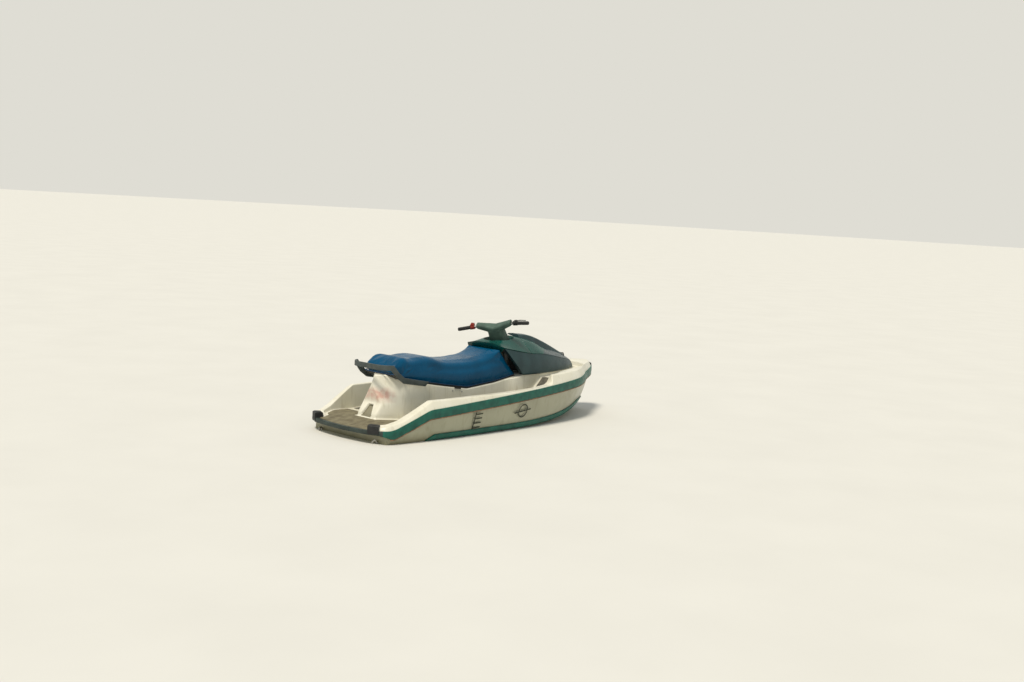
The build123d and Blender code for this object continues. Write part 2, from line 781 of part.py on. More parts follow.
def channel(x0, x1):
    """Shallow channel that closes the tunnel from below."""
    half = TUNNEL[2]
    low, high, wall = PLATE_Z
    body = block(x0, x1, -half, half, low, high)
    return body - block(x0 - 5, x1 + 5, wall - half, half - wall, low + wall, high + 5)


def intake_grate():
    """Barred plate under the intake."""
    x0, x1 = PUMP_X[1] + 2, TUNNEL[1]
    body = channel(x0, x1)
    for y in (-84, -56, -28, 0, 28, 56, 84):
        body -= block(x0 + 24, x1 - 24, y - 9, y + 9, -250, -150)
    return body


def ride_plate():
    """Plate under the pump."""
    return channel(STERN_X + RAIL_DEEP + 2, PUMP_X[1] - 22)


def nozzle_place():
    """Frame of the steering nozzle at its rest angle."""
    return Pos(NOZZLE_X, 0, JET_Z) * Rot(0, 0, -STEER_REST * NOZZLE_RATIO)


def steering_nozzle():
    """Turning nozzle on two upright pins."""
    end = NOZZLE_END - NOZZLE_X
    body = rod((14, 0, 0), (end, 0, 0), NOZZLE_R) - rod((20, 0, 0), (end - 5, 0, 0), NOZZLE_BORE)
    pins = Cylinder(NOZZLE_PIN, 2 * 60) - Cylinder(7, 2 * (NOZZLE_R - 3))
    body += pins
    x = GATE_X - NOZZLE_X
    pivots = Cylinder(GATE_PIN, 2 * 61) - Cylinder(8, 2 * (NOZZLE_R - 3))
    return nozzle_place() * (body + Pos(x, 0, 0) * Rot(90, 0, 0) * pivots)


def reverse_gate():
    """Bucket that swings down behind the nozzle."""
    half = 60
    turn = Rot(90, 0, 0)
    ring = turn * Cylinder(GATE_R + GATE_WALL, 2 * half) - turn * Cylinder(GATE_R, 2 * half + 4)
    wedge = across([(0, 0), (-90, 66), (-90, 120), (14, 120), (14, 60)], half)
    body = ring & wedge
    arm = across([(-12, -10), (12, -10), (14, 60), (14, 76), (-46, 62), (-60, 44)], half)
    arm -= block(-200, 200, 5 - half, half - 5, -200, 200)
    arm &= turn * Cylinder(GATE_R + 1, 2 * half)
    body += arm
    body -= turn * Cylinder(GATE_PIN + RUN_FIT, 2 * half + 10)
    return nozzle_place() * Pos(GATE_X - NOZZLE_X, 0, 0) * body


def drain_plugs():
    """Plugs in the transom."""
    port = rod((STERN_X + RAIL_DEEP - 8, 230, -60), (STERN_X + RAIL_DEEP, 230, -60), 14)
    return both_sides(port)


NODES = {
    "hull_shell": hull_shell,
    "spray_rails": spray_rails,
    "rub_rail": rub_rail,
    "bow_bumper": bow_bumper,
    "corner_pads": corner_pads,
    "bow_eye": bow_eye,
    "stern_eyes": stern_eyes,
    "drain_plugs": drain_plugs,
    "deck_moulding": deck_moulding,
    "footwell_mats": footwell_mats,
    "toe_mats": toe_mats,
    "platform_mat": platform_mat,
    "fuel_cap": fuel_cap,
    "cowl": cowl,
    "upper_cowl": upper_cowl,
    "nose_cap": nose_cap,
    "hood": hood,
    "hood_spine": hood_spine,
    "hood_hinge": hood_hinge,
    "storage_bin": storage_bin,
    "seat_pan": seat_pan,
    "seat_cushion": seat_cushion,
    "grab_handle": grab_handle,
    "steering_mount": steering_mount,
    "steering_shaft": steering_shaft,
    "steering_pad": steering_pad,
    "handlebar": handlebar,
    "grips": grips,
    "throttle_housing": throttle_housing,
    "throttle_lever": throttle_lever,
    "stop_switch": stop_switch,
    "stop_button": stop_button,
    "engine_block": engine_block,
    "impeller": impeller,
    "pump_housing": pump_housing,
    "intake_grate": intake_grate,
    "ride_plate": ride_plate,
    "steering_nozzle": steering_nozzle,
    "reverse_gate": reverse_gate,
}

for node, make in NODES.items():
    save(node, make())
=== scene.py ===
"""Look of a three-seat runabout watercraft afloat.

Metres, in the frame of the solids: +X to the bow, +Y to port, +Z up, z = 0 at the waterline.
"""
import bpy
import bmesh
import math
import mathutils
import numpy as np
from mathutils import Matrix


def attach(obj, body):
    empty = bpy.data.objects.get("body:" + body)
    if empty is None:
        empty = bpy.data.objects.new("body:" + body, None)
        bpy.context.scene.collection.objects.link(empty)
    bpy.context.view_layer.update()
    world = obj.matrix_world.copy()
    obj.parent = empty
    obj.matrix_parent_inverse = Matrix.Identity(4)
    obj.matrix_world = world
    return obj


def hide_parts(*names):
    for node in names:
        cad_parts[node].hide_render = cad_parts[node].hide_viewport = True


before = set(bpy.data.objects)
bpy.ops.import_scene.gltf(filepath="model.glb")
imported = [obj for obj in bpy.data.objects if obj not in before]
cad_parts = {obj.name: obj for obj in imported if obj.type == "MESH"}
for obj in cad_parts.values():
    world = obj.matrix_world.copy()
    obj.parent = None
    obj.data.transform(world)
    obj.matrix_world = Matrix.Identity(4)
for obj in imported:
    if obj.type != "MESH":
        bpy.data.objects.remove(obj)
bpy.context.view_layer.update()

# Camera: over the starboard quarter and low, as a person wading beside the craft sees it.
# The craft heels a little in the swell there, so the camera is rolled instead of the craft.
camera = bpy.data.objects.new("camera", bpy.data.cameras.new("camera"))
camera.data.lens = 42.65
camera.data.sensor_width = 36
camera.location = (-7.832, -7.336, 1.875)
camera.rotation_euler = (1.46408, -0.05721, -0.83824)
bpy.context.scene.collection.objects.link(camera)
bpy.context.scene.camera = camera
bpy.context.scene.view_settings.view_transform = "Standard"


# Studio: a pale floor at the waterline, one soft lamp high over the stern and an even pale sky.
# The hull sides lie in soft shade and all that faces up is bright, as in the photograph.
def linear(code):
    """Linear colour of an sRGB hex code: ((c + 0.055) / 1.055) ** 2.4 above 0.04."""
    parts = [int(code[k:k + 2], 16) / 255 for k in (1, 3, 5)]
    parts = [c / 12.92 if c <= 0.04045 else ((c + 0.055) / 1.055) ** 2.4 for c in parts]
    return (*parts, 1.0)


def wire(tree, node, wires):
    """Feeds inputs of a node; each wire is a socket, a number or a hex colour."""
    for name, value in wires.items():
        if isinstance(value, bpy.types.NodeSocket):
            tree.links.new(value, node.inputs[name])
        else:
            node.inputs[name].default_value = linear(value) if isinstance(value, str) else value


def put(tree, kind, wires=None, **settings):
    """Shader node with its settings by name and its inputs fed."""
    made = tree.nodes.new("ShaderNode" + kind)
    for name, value in settings.items():
        setattr(made, name, value)
    wire(tree, made, wires or {})
    return made


def maths(tree, operation, *values):
    """Result of an operation on sockets or numbers."""
    return put(tree, "Math", dict(enumerate(values)), operation=operation).outputs[0]


def ramp(tree, value, none, full, low=0.0, high=1.0):
    """Value taken from none..full to low..high and held at both ends."""
    limits = {"Value": value, "From Min": none, "From Max": full, "To Min": low, "To Max": high}
    return put(tree, "MapRange", limits).outputs[0]


def blend(tree, share, one, other):
    """Colour between two by the share of the other."""
    return put(tree, "Mix", {0: share, 6: one, 7: other}, data_type="RGBA").outputs[2]


def noise(tree, place, size_mm, detail):
    """Noise of a size in mm."""
    return put(tree, "TexNoise", {"Vector": place, "Scale": 1000 / size_mm, "Detail": detail}).outputs[0]


lamp = bpy.data.objects.new("lamp", bpy.data.lights.new("lamp", "SUN"))
lamp.data.energy, lamp.data.angle, lamp.data.color = 2.8, math.radians(14), linear("#fff7ea")[:3]
lamp.rotation_euler = mathutils.Vector((0.46, 0.10, -0.88)).to_track_quat("-Z", "Y").to_euler()
bpy.context.scene.collection.objects.link(lamp)
world = bpy.data.worlds.new("studio")
bpy.context.scene.world = world
world.use_nodes = True
sky = world.node_tree
rays = put(sky, "LightPath")
seen = rays.outputs["Is Camera Ray"]
for other in ("Is Glossy Ray", "Is Transmission Ray"):
    seen = maths(sky, "MAXIMUM", seen, rays.outputs[other])
even = put(sky, "Background", {"Color": "#dfe6ea", "Strength": 0.60})
back = put(sky, "Background", {"Color": "#dfddd4", "Strength": 1.0})
both = put(sky, "MixShader", {0: seen, 1: even.outputs[0], 2: back.outputs[0]})
wire(sky, sky.nodes["World Output"], {"Surface": both.outputs[0]})


def start(name):
    """New material: itself, its node tree, its shader and the place on the object."""
    made = bpy.data.materials.new(name)
    made.use_nodes = True
    tree = made.node_tree
    return made, tree, tree.nodes["Principled BSDF"], put(tree, "TexCoord").outputs["Object"]


def patches(tree, place, size_mm, low, high, detail=3.0):
    """Cloudy pattern of a size in mm: noise between two levels stretched to 0..1."""
    return ramp(tree, noise(tree, place, size_mm, detail), low, high)


def roughen(tree, shader, place, size_mm, rough, bump_mm=0.0, grain_mm=1.0):
    """Uneven gloss between two roughness values, and a grain of a depth and size in mm."""
    cloud = patches(tree, place, size_mm, 0.35, 0.65)
    wire(tree, shader, {"Roughness": ramp(tree, cloud, 0.0, 1.0, *rough)})
    if bump_mm:
        grain = noise(tree, place, grain_mm, 2.0)
        bump = put(tree, "Bump", {"Height": grain, "Strength": 1.0, "Distance": bump_mm / 1000})
        wire(tree, shader, {"Normal": bump.outputs[0]})


def moulded(name, light, dark, rough, patch_mm=90, bump_mm=0.05, grain_mm=1.2, coat=0.0, metal=0.0):
    """Plain moulded or cast surface in two close shades, with uneven gloss and a fine grain."""
    made, tree, shader, place = start(name)
    cloud = patches(tree, place, patch_mm, 0.35, 0.68)
    mix = blend(tree, cloud, light, dark)
    wire(tree, shader, {"Base Color": mix, "Metallic": metal, "Coat Weight": coat})
    wire(tree, shader, {"Specular IOR Level": 0.5 if metal else 0.3})
    roughen(tree, shader, place, patch_mm / 3, rough, bump_mm, grain_mm)
    return made


floor_half = 300
floor_mesh = bpy.data.meshes.new("floor")
floor_corners = [(x * floor_half, y * floor_half, 0) for x, y in ((-1, -1), (1, -1), (1, 1), (-1, 1))]
floor_mesh.from_pydata(floor_corners, [], [(0, 1, 2, 3)])
floor = bpy.data.objects.new("floor", floor_mesh)
floor_mesh.materials.append(moulded("studio_floor_paint", "#dddbd3", "#dad8d0", (0.7, 0.85), 900, 0))
bpy.context.scene.collection.objects.link(floor)


# Hull: a glass-fibre laminate with a sprayed gelcoat face, once white and now cream.
# Salt and silt leave a brown tide mark over the waterline and faint runs below the rub rail.
blotch_mm, drip_mm, drip_stretch, drip_strength = 260, 26, 0.12, 0.26
tide_wave_mm, tide_wave, tide_fade, tide_strength = 71.43, 0.07, 0.07, 0.6


def gelcoat(name, light, dark, stain, tide):
    """Gelcoat with old blotches, drip runs and a tide mark up to a height in metres."""
    made, tree, shader, place = start(name)
    axes = put(tree, "SeparateXYZ", {"Vector": place})
    blotches = patches(tree, place, blotch_mm, 0.4, 0.7)
    base = blend(tree, blotches, light, dark)
    down = put(tree, "Mapping", {"Vector": place, "Scale": (1.0, 1.0, drip_stretch)})
    drips = patches(tree, down.outputs[0], drip_mm, 0.56, 0.74)
    base = blend(tree, maths(tree, "MULTIPLY", drips, drip_strength), base, stain)
    wavy = noise(tree, place, tide_wave_mm, 4.0)
    height = maths(tree, "MULTIPLY_ADD", wavy, -tide_wave, axes.outputs["Z"])
    base = blend(tree, ramp(tree, height, tide, tide - tide_fade, 0.0, tide_strength), base, stain)
    wire(tree, shader, {"Base Color": base, "Coat Weight": 0.3, "Coat Roughness": 0.25})
    roughen(tree, shader, place, 60, (0.3, 0.5), 0.12, 9.0)
    return made, tree, shader, place, base


# The hull's copy is the deck's cream darkened to grey-beige: painted shade for the hull sides, which lie
# under the rail and face the water.
hull_gelcoat_shaded = gelcoat("hull_gelcoat_painted_shade", "#aaa98f", "#9d9b82", "#736c47", 0.05)[0]
deck_gelcoat = gelcoat("deck_gelcoat_sprayed", "#e6e2d0", "#dbd6c0", "#a3946f", -1.0)[0]


def slopes(x, y):
    """Slopes of a curve through points, weighted by the steps on both sides."""
    step = np.diff(x)[:, None]
    rise = np.diff(y, axis=0) / step
    inner = (rise[:-1] * step[1:] + rise[1:] * step[:-1]) / (step[1:] + step[:-1])
    return np.vstack([rise[:1], inner, rise[-1:]])


def hermite(x, y, at, slope):
    """Cubic through points: y0 h00 + m0 h10 + y1 h01 + m1 h11 on each step."""
    k = np.clip(np.searchsorted(x, at, side="right") - 1, 0, len(x) - 2)
    step = (x[k + 1] - x[k])[:, None]
    t = ((at - x[k]) / (x[k + 1] - x[k]))[:, None]
    near = (2 * t**3 - 3 * t**2 + 1) * y[k] + (t**3 - 2 * t**2 + t) * step * slope[k]
    far = (3 * t**2 - 2 * t**3) * y[k + 1] + (t**3 - t**2) * step * slope[k + 1]
    return near + far


def thread(points, count):
    """Points spread along a smooth curve through the given ones, by chord length."""
    points = np.array(points, float)
    run = np.concatenate([[0], np.cumsum(np.linalg.norm(np.diff(points, axis=0), axis=1))])
    return hermite(run, points, np.linspace(0, run[-1], count), slopes(run, points))


def fair(table, at):
    """Columns of a table at new values of its first one, on curves that never overshoot."""
    table = np.array(table, float)
    x, y = table[:, 0], table[:, 1:]
    rise = np.diff(y, axis=0) / np.diff(x)[:, None]
    slope = slopes(x, y)
    for k in range(1, len(x) - 1):
        flat = rise[k - 1] * rise[k] <= 0
        small = 3 * np.minimum(abs(rise[k - 1]), abs(rise[k]))
        slope[k] = np.where(flat, 0, np.clip(slope[k], -small, small))
    return hermite(x, y, np.clip(np.asarray(at, float), x[0], x[-1]), slope)


def soft(points, at, reach):
    """Height of a broken line with its corners rounded: the mean over x - reach..x + reach."""
    x, z = np.array(points, float).T
    spread = np.linspace(-reach, reach, 9)
    return np.mean([np.interp(at + d, x, z) for d in spread], axis=0)


def rounded(corners, radii, steps=5):
    """Corners as (rows, corners, 3) with each inner one swept as a quadratic arc of its radius."""
    corners = np.asarray(corners, float)
    out = [corners[:, :1]]
    for k in range(1, corners.shape[1] - 1):
        here = corners[:, k]
        back, ahead = corners[:, k - 1] - here, corners[:, k + 1] - here
        long_b = np.linalg.norm(back, axis=1, keepdims=True) + 1e-9
        long_a = np.linalg.norm(ahead, axis=1, keepdims=True) + 1e-9
        cut = np.minimum(radii[k - 1], 0.45 * np.minimum(long_b, long_a))
        a, b = here + back / long_b * cut, here + ahead / long_a * cut
        for t in np.linspace(0, 1, steps):
            out.append(((1 - t)**2 * a + 2 * t * (1 - t) * here + t**2 * b)[:, None])
    out.append(corners[:, -1:])
    return np.concatenate(out, axis=1)


def quads(rows, cols, wrap_rows=False, wrap_cols=False, offset=0):
    """Faces between the points of a grid."""
    a, b = np.meshgrid(np.arange(rows - (not wrap_rows)), np.arange(cols - (not wrap_cols)), indexing="ij")
    c, d = (a + 1) % rows, (b + 1) % cols
    corners = np.stack([a * cols + b, c * cols + b, c * cols + d, a * cols + d], -1)
    return (offset + corners).reshape(-1, 4).tolist()


def lofted(rows):
    """Faces between closed sections, with both ends capped."""
    n, k = rows.shape[:2]
    return quads(n, k, wrap_cols=True) + [list(range(k)), list(range((n - 1) * k, n * k))]


def sheet(rows):
    """Points and faces of a grid."""
    return rows.reshape(-1, 3), quads(*rows.shape[:2])


def mirrored(rows, faces=None):
    """Points and faces of a grid on one side, and the same on the other side."""
    points, plain = sheet(rows)
    faces = faces or plain
    other = [[v + len(points) for v in f[::-1]] for f in faces]
    return np.concatenate([points, points * (1, -1, 1)]), faces + other


def piece(name, points, faces, material, slot, body="hull", sharp=38, facing="out"):
    """Mesh object at the origin that rides on a body, smooth except over sharp edges.

    Its faces look out, in, or away from a point: turned over where their normals say the reverse.
    """
    mesh = bpy.data.meshes.new(name)
    mesh.from_pydata(np.asarray(points, float).reshape(-1, 3).tolist(), [], faces)
    work = bmesh.new()
    work.from_mesh(mesh)
    bmesh.ops.remove_doubles(work, verts=work.verts, dist=1e-5)
    bmesh.ops.dissolve_degenerate(work, edges=work.edges, dist=1e-6)
    if isinstance(facing, str):
        bmesh.ops.recalc_face_normals(work, faces=work.faces)
        turn = facing == "in"
    else:
        away = mathutils.Vector(facing)
        turn = sum(f.normal.dot(f.calc_center_median() - away) * f.calc_area() for f in work.faces) < 0
    if turn:
        bmesh.ops.reverse_faces(work, faces=work.faces)
    work.to_mesh(mesh)
    work.free()
    mesh.materials.append(material)
    mesh.shade_smooth()
    mesh.set_sharp_from_angle(angle=math.radians(sharp))
    thing = bpy.data.objects.new(name, mesh)
    bpy.context.scene.collection.objects.link(thing)
    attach(thing, body)
    return thing


def settle(thing):
    """Applies a piece's modifiers."""
    bpy.context.view_layer.update()
    graph = bpy.context.evaluated_depsgraph_get()
    made = bpy.data.meshes.new_from_object(thing.evaluated_get(graph))
    thing.modifiers.clear()
    thing.data = made
    return thing


def thicken(thing, wall, offset=-1.0):
    """Gives an open skin a wall in metres, inward."""
    shell = thing.modifiers.new("wall", "SOLIDIFY")
    shell.thickness, shell.offset, shell.use_rim = wall, offset, True
    return settle(thing)


# Stations: x, keel z, chine y, chine z, top y, top z. The band's edges: x, z. Deck outline: x, y.
stations = [
    (-1.476, -0.190, 0.430, -0.018, 0.466, 0.025), (-1.000, -0.200, 0.484, 0.008, 0.540, 0.185),
    (-0.300, -0.200, 0.497, 0.012, 0.556, 0.235), (0.300, -0.185, 0.478, 0.022, 0.538, 0.270),
    (0.700, -0.140, 0.412, 0.052, 0.492, 0.300), (0.900, -0.098, 0.348, 0.080, 0.444, 0.315),
    (1.060, -0.062, 0.282, 0.110, 0.368, 0.324), (1.250, -0.025, 0.184, 0.150, 0.250, 0.334),
    (1.340, 0.005, 0.132, 0.176, 0.206, 0.338), (1.446, 0.196, 0.074, 0.240, 0.146, 0.343),
    (1.500, 0.300, 0.036, 0.316, 0.102, 0.346), (1.533, 0.345, 0.012, 0.350, 0.060, 0.352),
]
rail_top = [(-1.7, 0.105), (-1.430, 0.114), (-1.095, 0.262), (1.7, 0.434)]
rail_foot = [(-1.7, 0.076), (-1.530, 0.076), (-1.430, 0.042), (-1.095, 0.190), (1.7, 0.362)]
outline = np.array([
    (-1.500, 0.450), (-1.360, 0.486), (-1.080, 0.538), (-0.640, 0.557), (-0.200, 0.560), (0.300, 0.540),
    (0.672, 0.499), (0.905, 0.446), (1.060, 0.370), (1.190, 0.284), (1.330, 0.208), (1.448, 0.138),
    (1.521, 0.076), (1.557, 0.0),
])
stern_corner, stern_mid = np.array([-1.570, 0.319]), -1.603


def unit(vectors):
    """Vectors divided by their lengths."""
    return vectors / np.linalg.norm(vectors, axis=-1, keepdims=True)


def corner_in(before, here, after, inset):
    """Corner of a path moved to its left by inset from both sides: n1 + n2 over 1 + n1 . n2."""
    a, b = unit(here - before), unit(after - here)
    a, b = np.array([-a[1], a[0]]), np.array([-b[1], b[0]])
    return here + inset * (a + b) / (1 + a @ b)


def ring_path(inset):
    """Closed deck outline moved in: a spline round both sides, a chamfer, the bowed stern, a chamfer."""
    ring = np.concatenate([outline * (1, -1), outline[-2::-1]])
    run = unit(ring[2:] - ring[:-2])
    sides = ring[1:-1] + inset * np.stack([-run[:, 1], run[:, 0]], 1)
    port = corner_in(ring[-2], ring[-1], stern_corner, inset)
    stern = corner_in(ring[-1], stern_corner, np.array([stern_mid, 0.0]), inset)
    side = thread(np.concatenate([[port * (1, -1)], sides, [port]]), 941)
    chamfer = port + (stern - port) * np.linspace(0, 1, 22)[:, None]
    y = np.linspace(stern[1], -stern[1], 93)
    bow = np.stack([stern_mid + inset + (stern[0] - stern_mid - inset) * (y / stern[1])**2, y], 1)
    path = np.concatenate([side, chamfer[1:], bow[1:], chamfer[-2:0:-1] * (1, -1)])
    near = np.clip((-1.42 - path[:, :1]) / 0.04, 0, 1)
    return path * (1 - near) + np.mean([np.roll(path, k, axis=0) for k in range(-5, 6)], axis=0) * near


rim, sill = ring_path(0.0), ring_path(0.084)
rim_count, bow_tip = len(rim), 470


def moved_in(inset):
    """Outline moved in by a number or by an array along it."""
    return rim + (sill - rim) * np.reshape(np.asarray(inset) / 0.084, (-1, 1))


def ringed(profile, order):
    """Rows over part of the outline: a column for each inset and height."""
    columns = [(moved_in(inset), np.broadcast_to(height, rim_count)) for inset, height in profile]
    return np.stack([np.column_stack(column) for column in columns], 1)[order]


def hull_half(x):
    """Half breadth of the hull behind the rub rail."""
    port = moved_in(0.024)[bow_tip:941][::-1]
    return np.interp(x, port[:, 0], port[:, 1])


def sections(x, line):
    """Rows at places x, with a point for each pair y, z."""
    return np.stack([np.stack([x, y, z], 1) for y, z in line], 1)


def whole(port):
    """Rows over both sides from rows of the port side: reversed to starboard, then on to port."""
    return np.concatenate([port[:, ::-1] * (1, -1, 1), port[:, 1:]], axis=1)


tunnel_half, tunnel_roof, tunnel_front = 0.115, -0.008, -0.800
transom_x, stem_foot_x, stem_x, aft_count, laminate_wall = -1.476, 1.25, 1.533, 60, 0.006
hull_x = np.concatenate([
    np.linspace(transom_x, tunnel_front, aft_count), np.linspace(tunnel_front, stem_foot_x, 160)[1:],
    np.linspace(stem_foot_x, stem_x, 50)[1:],
])


def hull_side(x, keel, chine_y, chine_z, top_y, top_z, tunnel):
    """Corners of the port side of the hull, from the middle up to the joint behind the rail."""
    joint = soft(rail_top, x, 0.035) - 0.036
    half = hull_half(x)
    wall_y = np.where(chine_y > tunnel_half + 0.01, tunnel_half, chine_y * 0.5)
    wall_z = keel + (chine_z - keel) * wall_y / chine_y
    mouth_z = np.where(tunnel, tunnel_roof, keel)
    mouth_y = np.where(tunnel, tunnel_half, 1e-4)
    middle = [(0 * x, mouth_z), (mouth_y, mouth_z), (wall_y, wall_z)]
    edges = [(chine_y, chine_z), (np.minimum(top_y, half), np.minimum(top_z, joint - 0.004)), (half, joint)]
    return sections(x, middle + edges)


shape = fair(stations, hull_x)
sides = hull_side(hull_x, *shape.T, hull_x < tunnel_front + 1e-6)
at_front = slice(aft_count - 1, aft_count)
front_wall = hull_side(hull_x[at_front], *shape[at_front].T, np.array([False]))
port_side = np.concatenate([sides[:aft_count], front_wall, sides[aft_count:]])
port_side = rounded(port_side, [0.0005, 0.004, 0.014, 0.010], 4)
hull_rows = whole(port_side)
hull_faces = quads(*hull_rows.shape[:2]) + [list(range(hull_rows.shape[1]))]
hull = piece("hull_skin", hull_rows, hull_faces, hull_gelcoat_shaded, "cream_gelcoat", sharp=32)
thicken(hull, laminate_wall)
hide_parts("hull_shell")
stern_half = np.arange(941, rim_count + 1) % rim_count
under_deck = ringed([(0.012, 0.074), (0.20, 0.073)], stern_half)
under_deck[:, 1, 0] = -1.455
piece("deck_underside", *sheet(under_deck), hull_gelcoat_shaded, "cream_gelcoat", facing=(0, 0, 9))

# Draught ladder and load mark: plain dark marks in thin paint on both sides of the hull.
# They have no letters or figures.
mark_paint = moulded("mark_paint_brushed", "#2f3428", "#3c4033", (0.5, 0.7), 20, 0.02, 2.0)


def on_side(x, z, lift=0.0007):
    """Points of the starboard hull side between chine and rail, lifted off the gelcoat."""
    keel, chine_y, chine_z, top_y, top_z = fair(stations, x).T
    return np.stack([x, -(chine_y + (z - chine_z) / (top_z - chine_z) * (top_y - chine_y) + lift), z], 1)


def stroke(path, width=0.012):
    """Flat band of a width along a path x, z on the hull side: the path moved both ways along its normal."""
    run = unit(np.gradient(path, axis=0))
    normal = np.stack([-run[:, 1], run[:, 0]], 1) * width / 2
    return np.stack([on_side(*(path + normal).T), on_side(*(path - normal).T)], 1)


ladder_post, ladder_rungs = ((-0.580, 0.210), (-0.586, 0.036)), (0.184, 0.145, 0.106, 0.066)
load_bar, load_centre, load_radius = ((-0.085, 0.150), (0.128, 0.171)), (0.024, 0.162), 0.056
turn = np.linspace(0, 2 * np.pi, 49)[:, None]
strokes = [np.linspace(*ladder_post, 24), np.linspace(*load_bar, 24)]
strokes += [np.linspace((-0.578, z), (-0.498, z + 0.002), 12) for z in ladder_rungs]
strokes += [np.array(load_centre) + load_radius * np.hstack([np.cos(turn), np.sin(turn)])]
mark_points, mark_faces = [], []
for drawn in strokes:
    rows = stroke(drawn)
    for points in (rows, rows[:, ::-1] * (1, -1, 1)):
        mark_faces += quads(*rows.shape[:2], offset=sum(map(len, mark_points)))
        mark_points.append(points.reshape(-1, 3))
piece("hull_marks", np.concatenate(mark_points), mark_faces, mark_paint, "black_plastic", facing=(0, 0, 0.1))

# Chine strips: a teal vinyl moulding with a rounded lower edge, glued along each chine.
# The vinyl is matt and a little chalky, greener where it is clean.
teal_vinyl = moulded("teal_vinyl_extruded", "#1f6656", "#195246", (0.34, 0.52), 60, 0.04, 1.5)
spray_x = np.linspace(-1.090, 1.240, 260)
spray = fair(stations, spray_x)
spray_lean = (spray[:, 3] - spray[:, 1]) / (spray[:, 4] - spray[:, 2])
taper = np.minimum(1, np.minimum((spray_x - spray_x[0]) / 0.08, (spray_x[-1] - spray_x) / 0.20))
strip = [(-0.010, 0.044), (0.004, 0.044), (0.011, 0.036), (0.012, 0.006), (0.008, -0.003), (-0.010, -0.003)]
strip_rows = []
for out, up in strip:
    height = spray[:, 2] + np.where(up > 0.02, 0.006 + (up - 0.006) * taper, up)
    strip_rows.append(np.stack([spray_x, spray[:, 1] + (height - spray[:, 2]) * spray_lean + out, height], 1))
strip_rows = rounded(np.stack(strip_rows, 1), [0.003] * 4, 3)
strips = piece("chine_strips", *mirrored(strip_rows, lofted(strip_rows)), teal_vinyl, "teal_gelcoat")
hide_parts("spray_rails")

# Rub rail: a teal vinyl extrusion round the joint of hull and deck, pressed over its flange.
# It thins towards the stern, where a dark band goes on, with rubber blocks over both corners.
black_rubber = moulded("black_rubber_moulded", "#2d2e2d", "#1f2020", (0.5, 0.72), 70, 0.12, 1.6)
stern_rubber = moulded("stern_band_moulded", "#39443f", "#2a322f", (0.45, 0.65), 60, 0.08, 1.6)
bead_metal = moulded("rail_bead_stained", "#8f6a50", "#64503f", (0.5, 0.75), 40, 0.1, 2.0)
rail_top_z, rail_foot_z = soft(rail_top, rim[:, 0], 0.035), soft(rail_foot, rim[:, 0], 0.02)


def band(order, bulge, over=0.0, below=0.0, top=rail_top_z, foot=rail_foot_z):
    """Closed rows of a band between two heights, bulging by a sine arch beyond the outline."""
    top, foot = top + over, foot - below
    down = np.linspace(0, 1, 9)
    arch = -bulge * np.sin(np.pi * (0.12 + 0.76 * down))
    face = [(out, top - (top - foot) * t) for out, t in zip(arch, down)]
    return ringed([(0.024, top), (0.005, top)] + face + [(0.005, foot), (0.024, foot)], order)


teal_run = np.arange(-3, 944) % rim_count
rail = band(teal_run, 0.005)
rub_rail = piece("rub_rail_band", rail, lofted(rail), teal_vinyl, "teal_rail", sharp=50)
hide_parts("rub_rail")
bead_run = np.arange(6, 935)
bead = band(bead_run, 0.003, -0.001, 0.009, top=rail_foot_z)
piece("rub_rail_bead", bead, lofted(bead), bead_metal, "teal_rail", sharp=50)
stern_run = np.arange(943, rim_count - 2)
stern_rows = band(stern_run, 0.005)
piece("stern_rail_band", stern_rows, lofted(stern_rows), stern_rubber, "black_rubber", sharp=50)
tip_rows = band(np.flatnonzero(rim[:, 0] > 1.520), 0.010, 0.018, -0.004)
bow_bumper = piece("bow_bumper_pad", tip_rows, lofted(tip_rows), black_rubber, "black_rubber", sharp=50)
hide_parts("bow_bumper")
pad_near, pad_far = 0.312, 0.404
pad_run = np.flatnonzero((rim[:, 1] > pad_near) & (rim[:, 1] < pad_far) & (rim[:, 0] < -1.49))
pad_shape = [
    (0.058, 0.084), (-0.009, 0.084), (-0.010, 0.148), (0.004, 0.155), (0.052, 0.155), (0.060, 0.148),
    (0.060, 0.112),
]
pad_rows = rounded(ringed(pad_shape, pad_run), [0.005, 0.006, 0.008, 0.008, 0.004], 4)
corner_caps = piece("corner_blocks", *mirrored(pad_rows, lofted(pad_rows)), black_rubber, "black_rubber")
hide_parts("corner_pads")

# Deck: one glass-fibre moulding with a sloping gunwale, deep footwells and the seat's pedestal.
# Its gelcoat is the plain cream, and a flat boss on the port gunwale carries the filler cap; the hull's copy
# is darker only as painted shade.
crest = [
    (-1.700, 0.118), (-1.570, 0.124), (-1.443, 0.154), (-1.345, 0.182), (-1.070, 0.330), (-0.150, 0.337),
    (0.200, 0.345), (0.420, 0.362), (0.478, 0.442), (1.100, 0.458), (1.700, 0.474),
]
floor_line = [
    (-1.700, 0.094), (-1.590, 0.098), (-1.330, 0.140), (-1.080, 0.126), (0.300, 0.150), (0.600, 0.446),
    (0.640, 0.700),
]
gutter = [(0.430, 0.436), (0.560, 0.426), (0.700, 0.366), (0.950, 0.300), (1.100, 0.280), (1.240, 0.200)]
gutter_x, gutter_tip, gutter_floor = 0.43, 1.335, [(0.300, 0.378), (1.400, 0.418)]
cap_x, cap_y, boss_radius, boss_edge, boss_top = 0.720, 0.432, 0.050, 0.008, 0.439


def floor_height(x):
    """Floor of footwell, ramped toe end and gutter over x."""
    gutter_z = np.where(x > gutter_x, np.interp(x, *np.array(gutter_floor).T), np.inf)
    return np.minimum(soft(floor_line, x, 0.03), gutter_z)


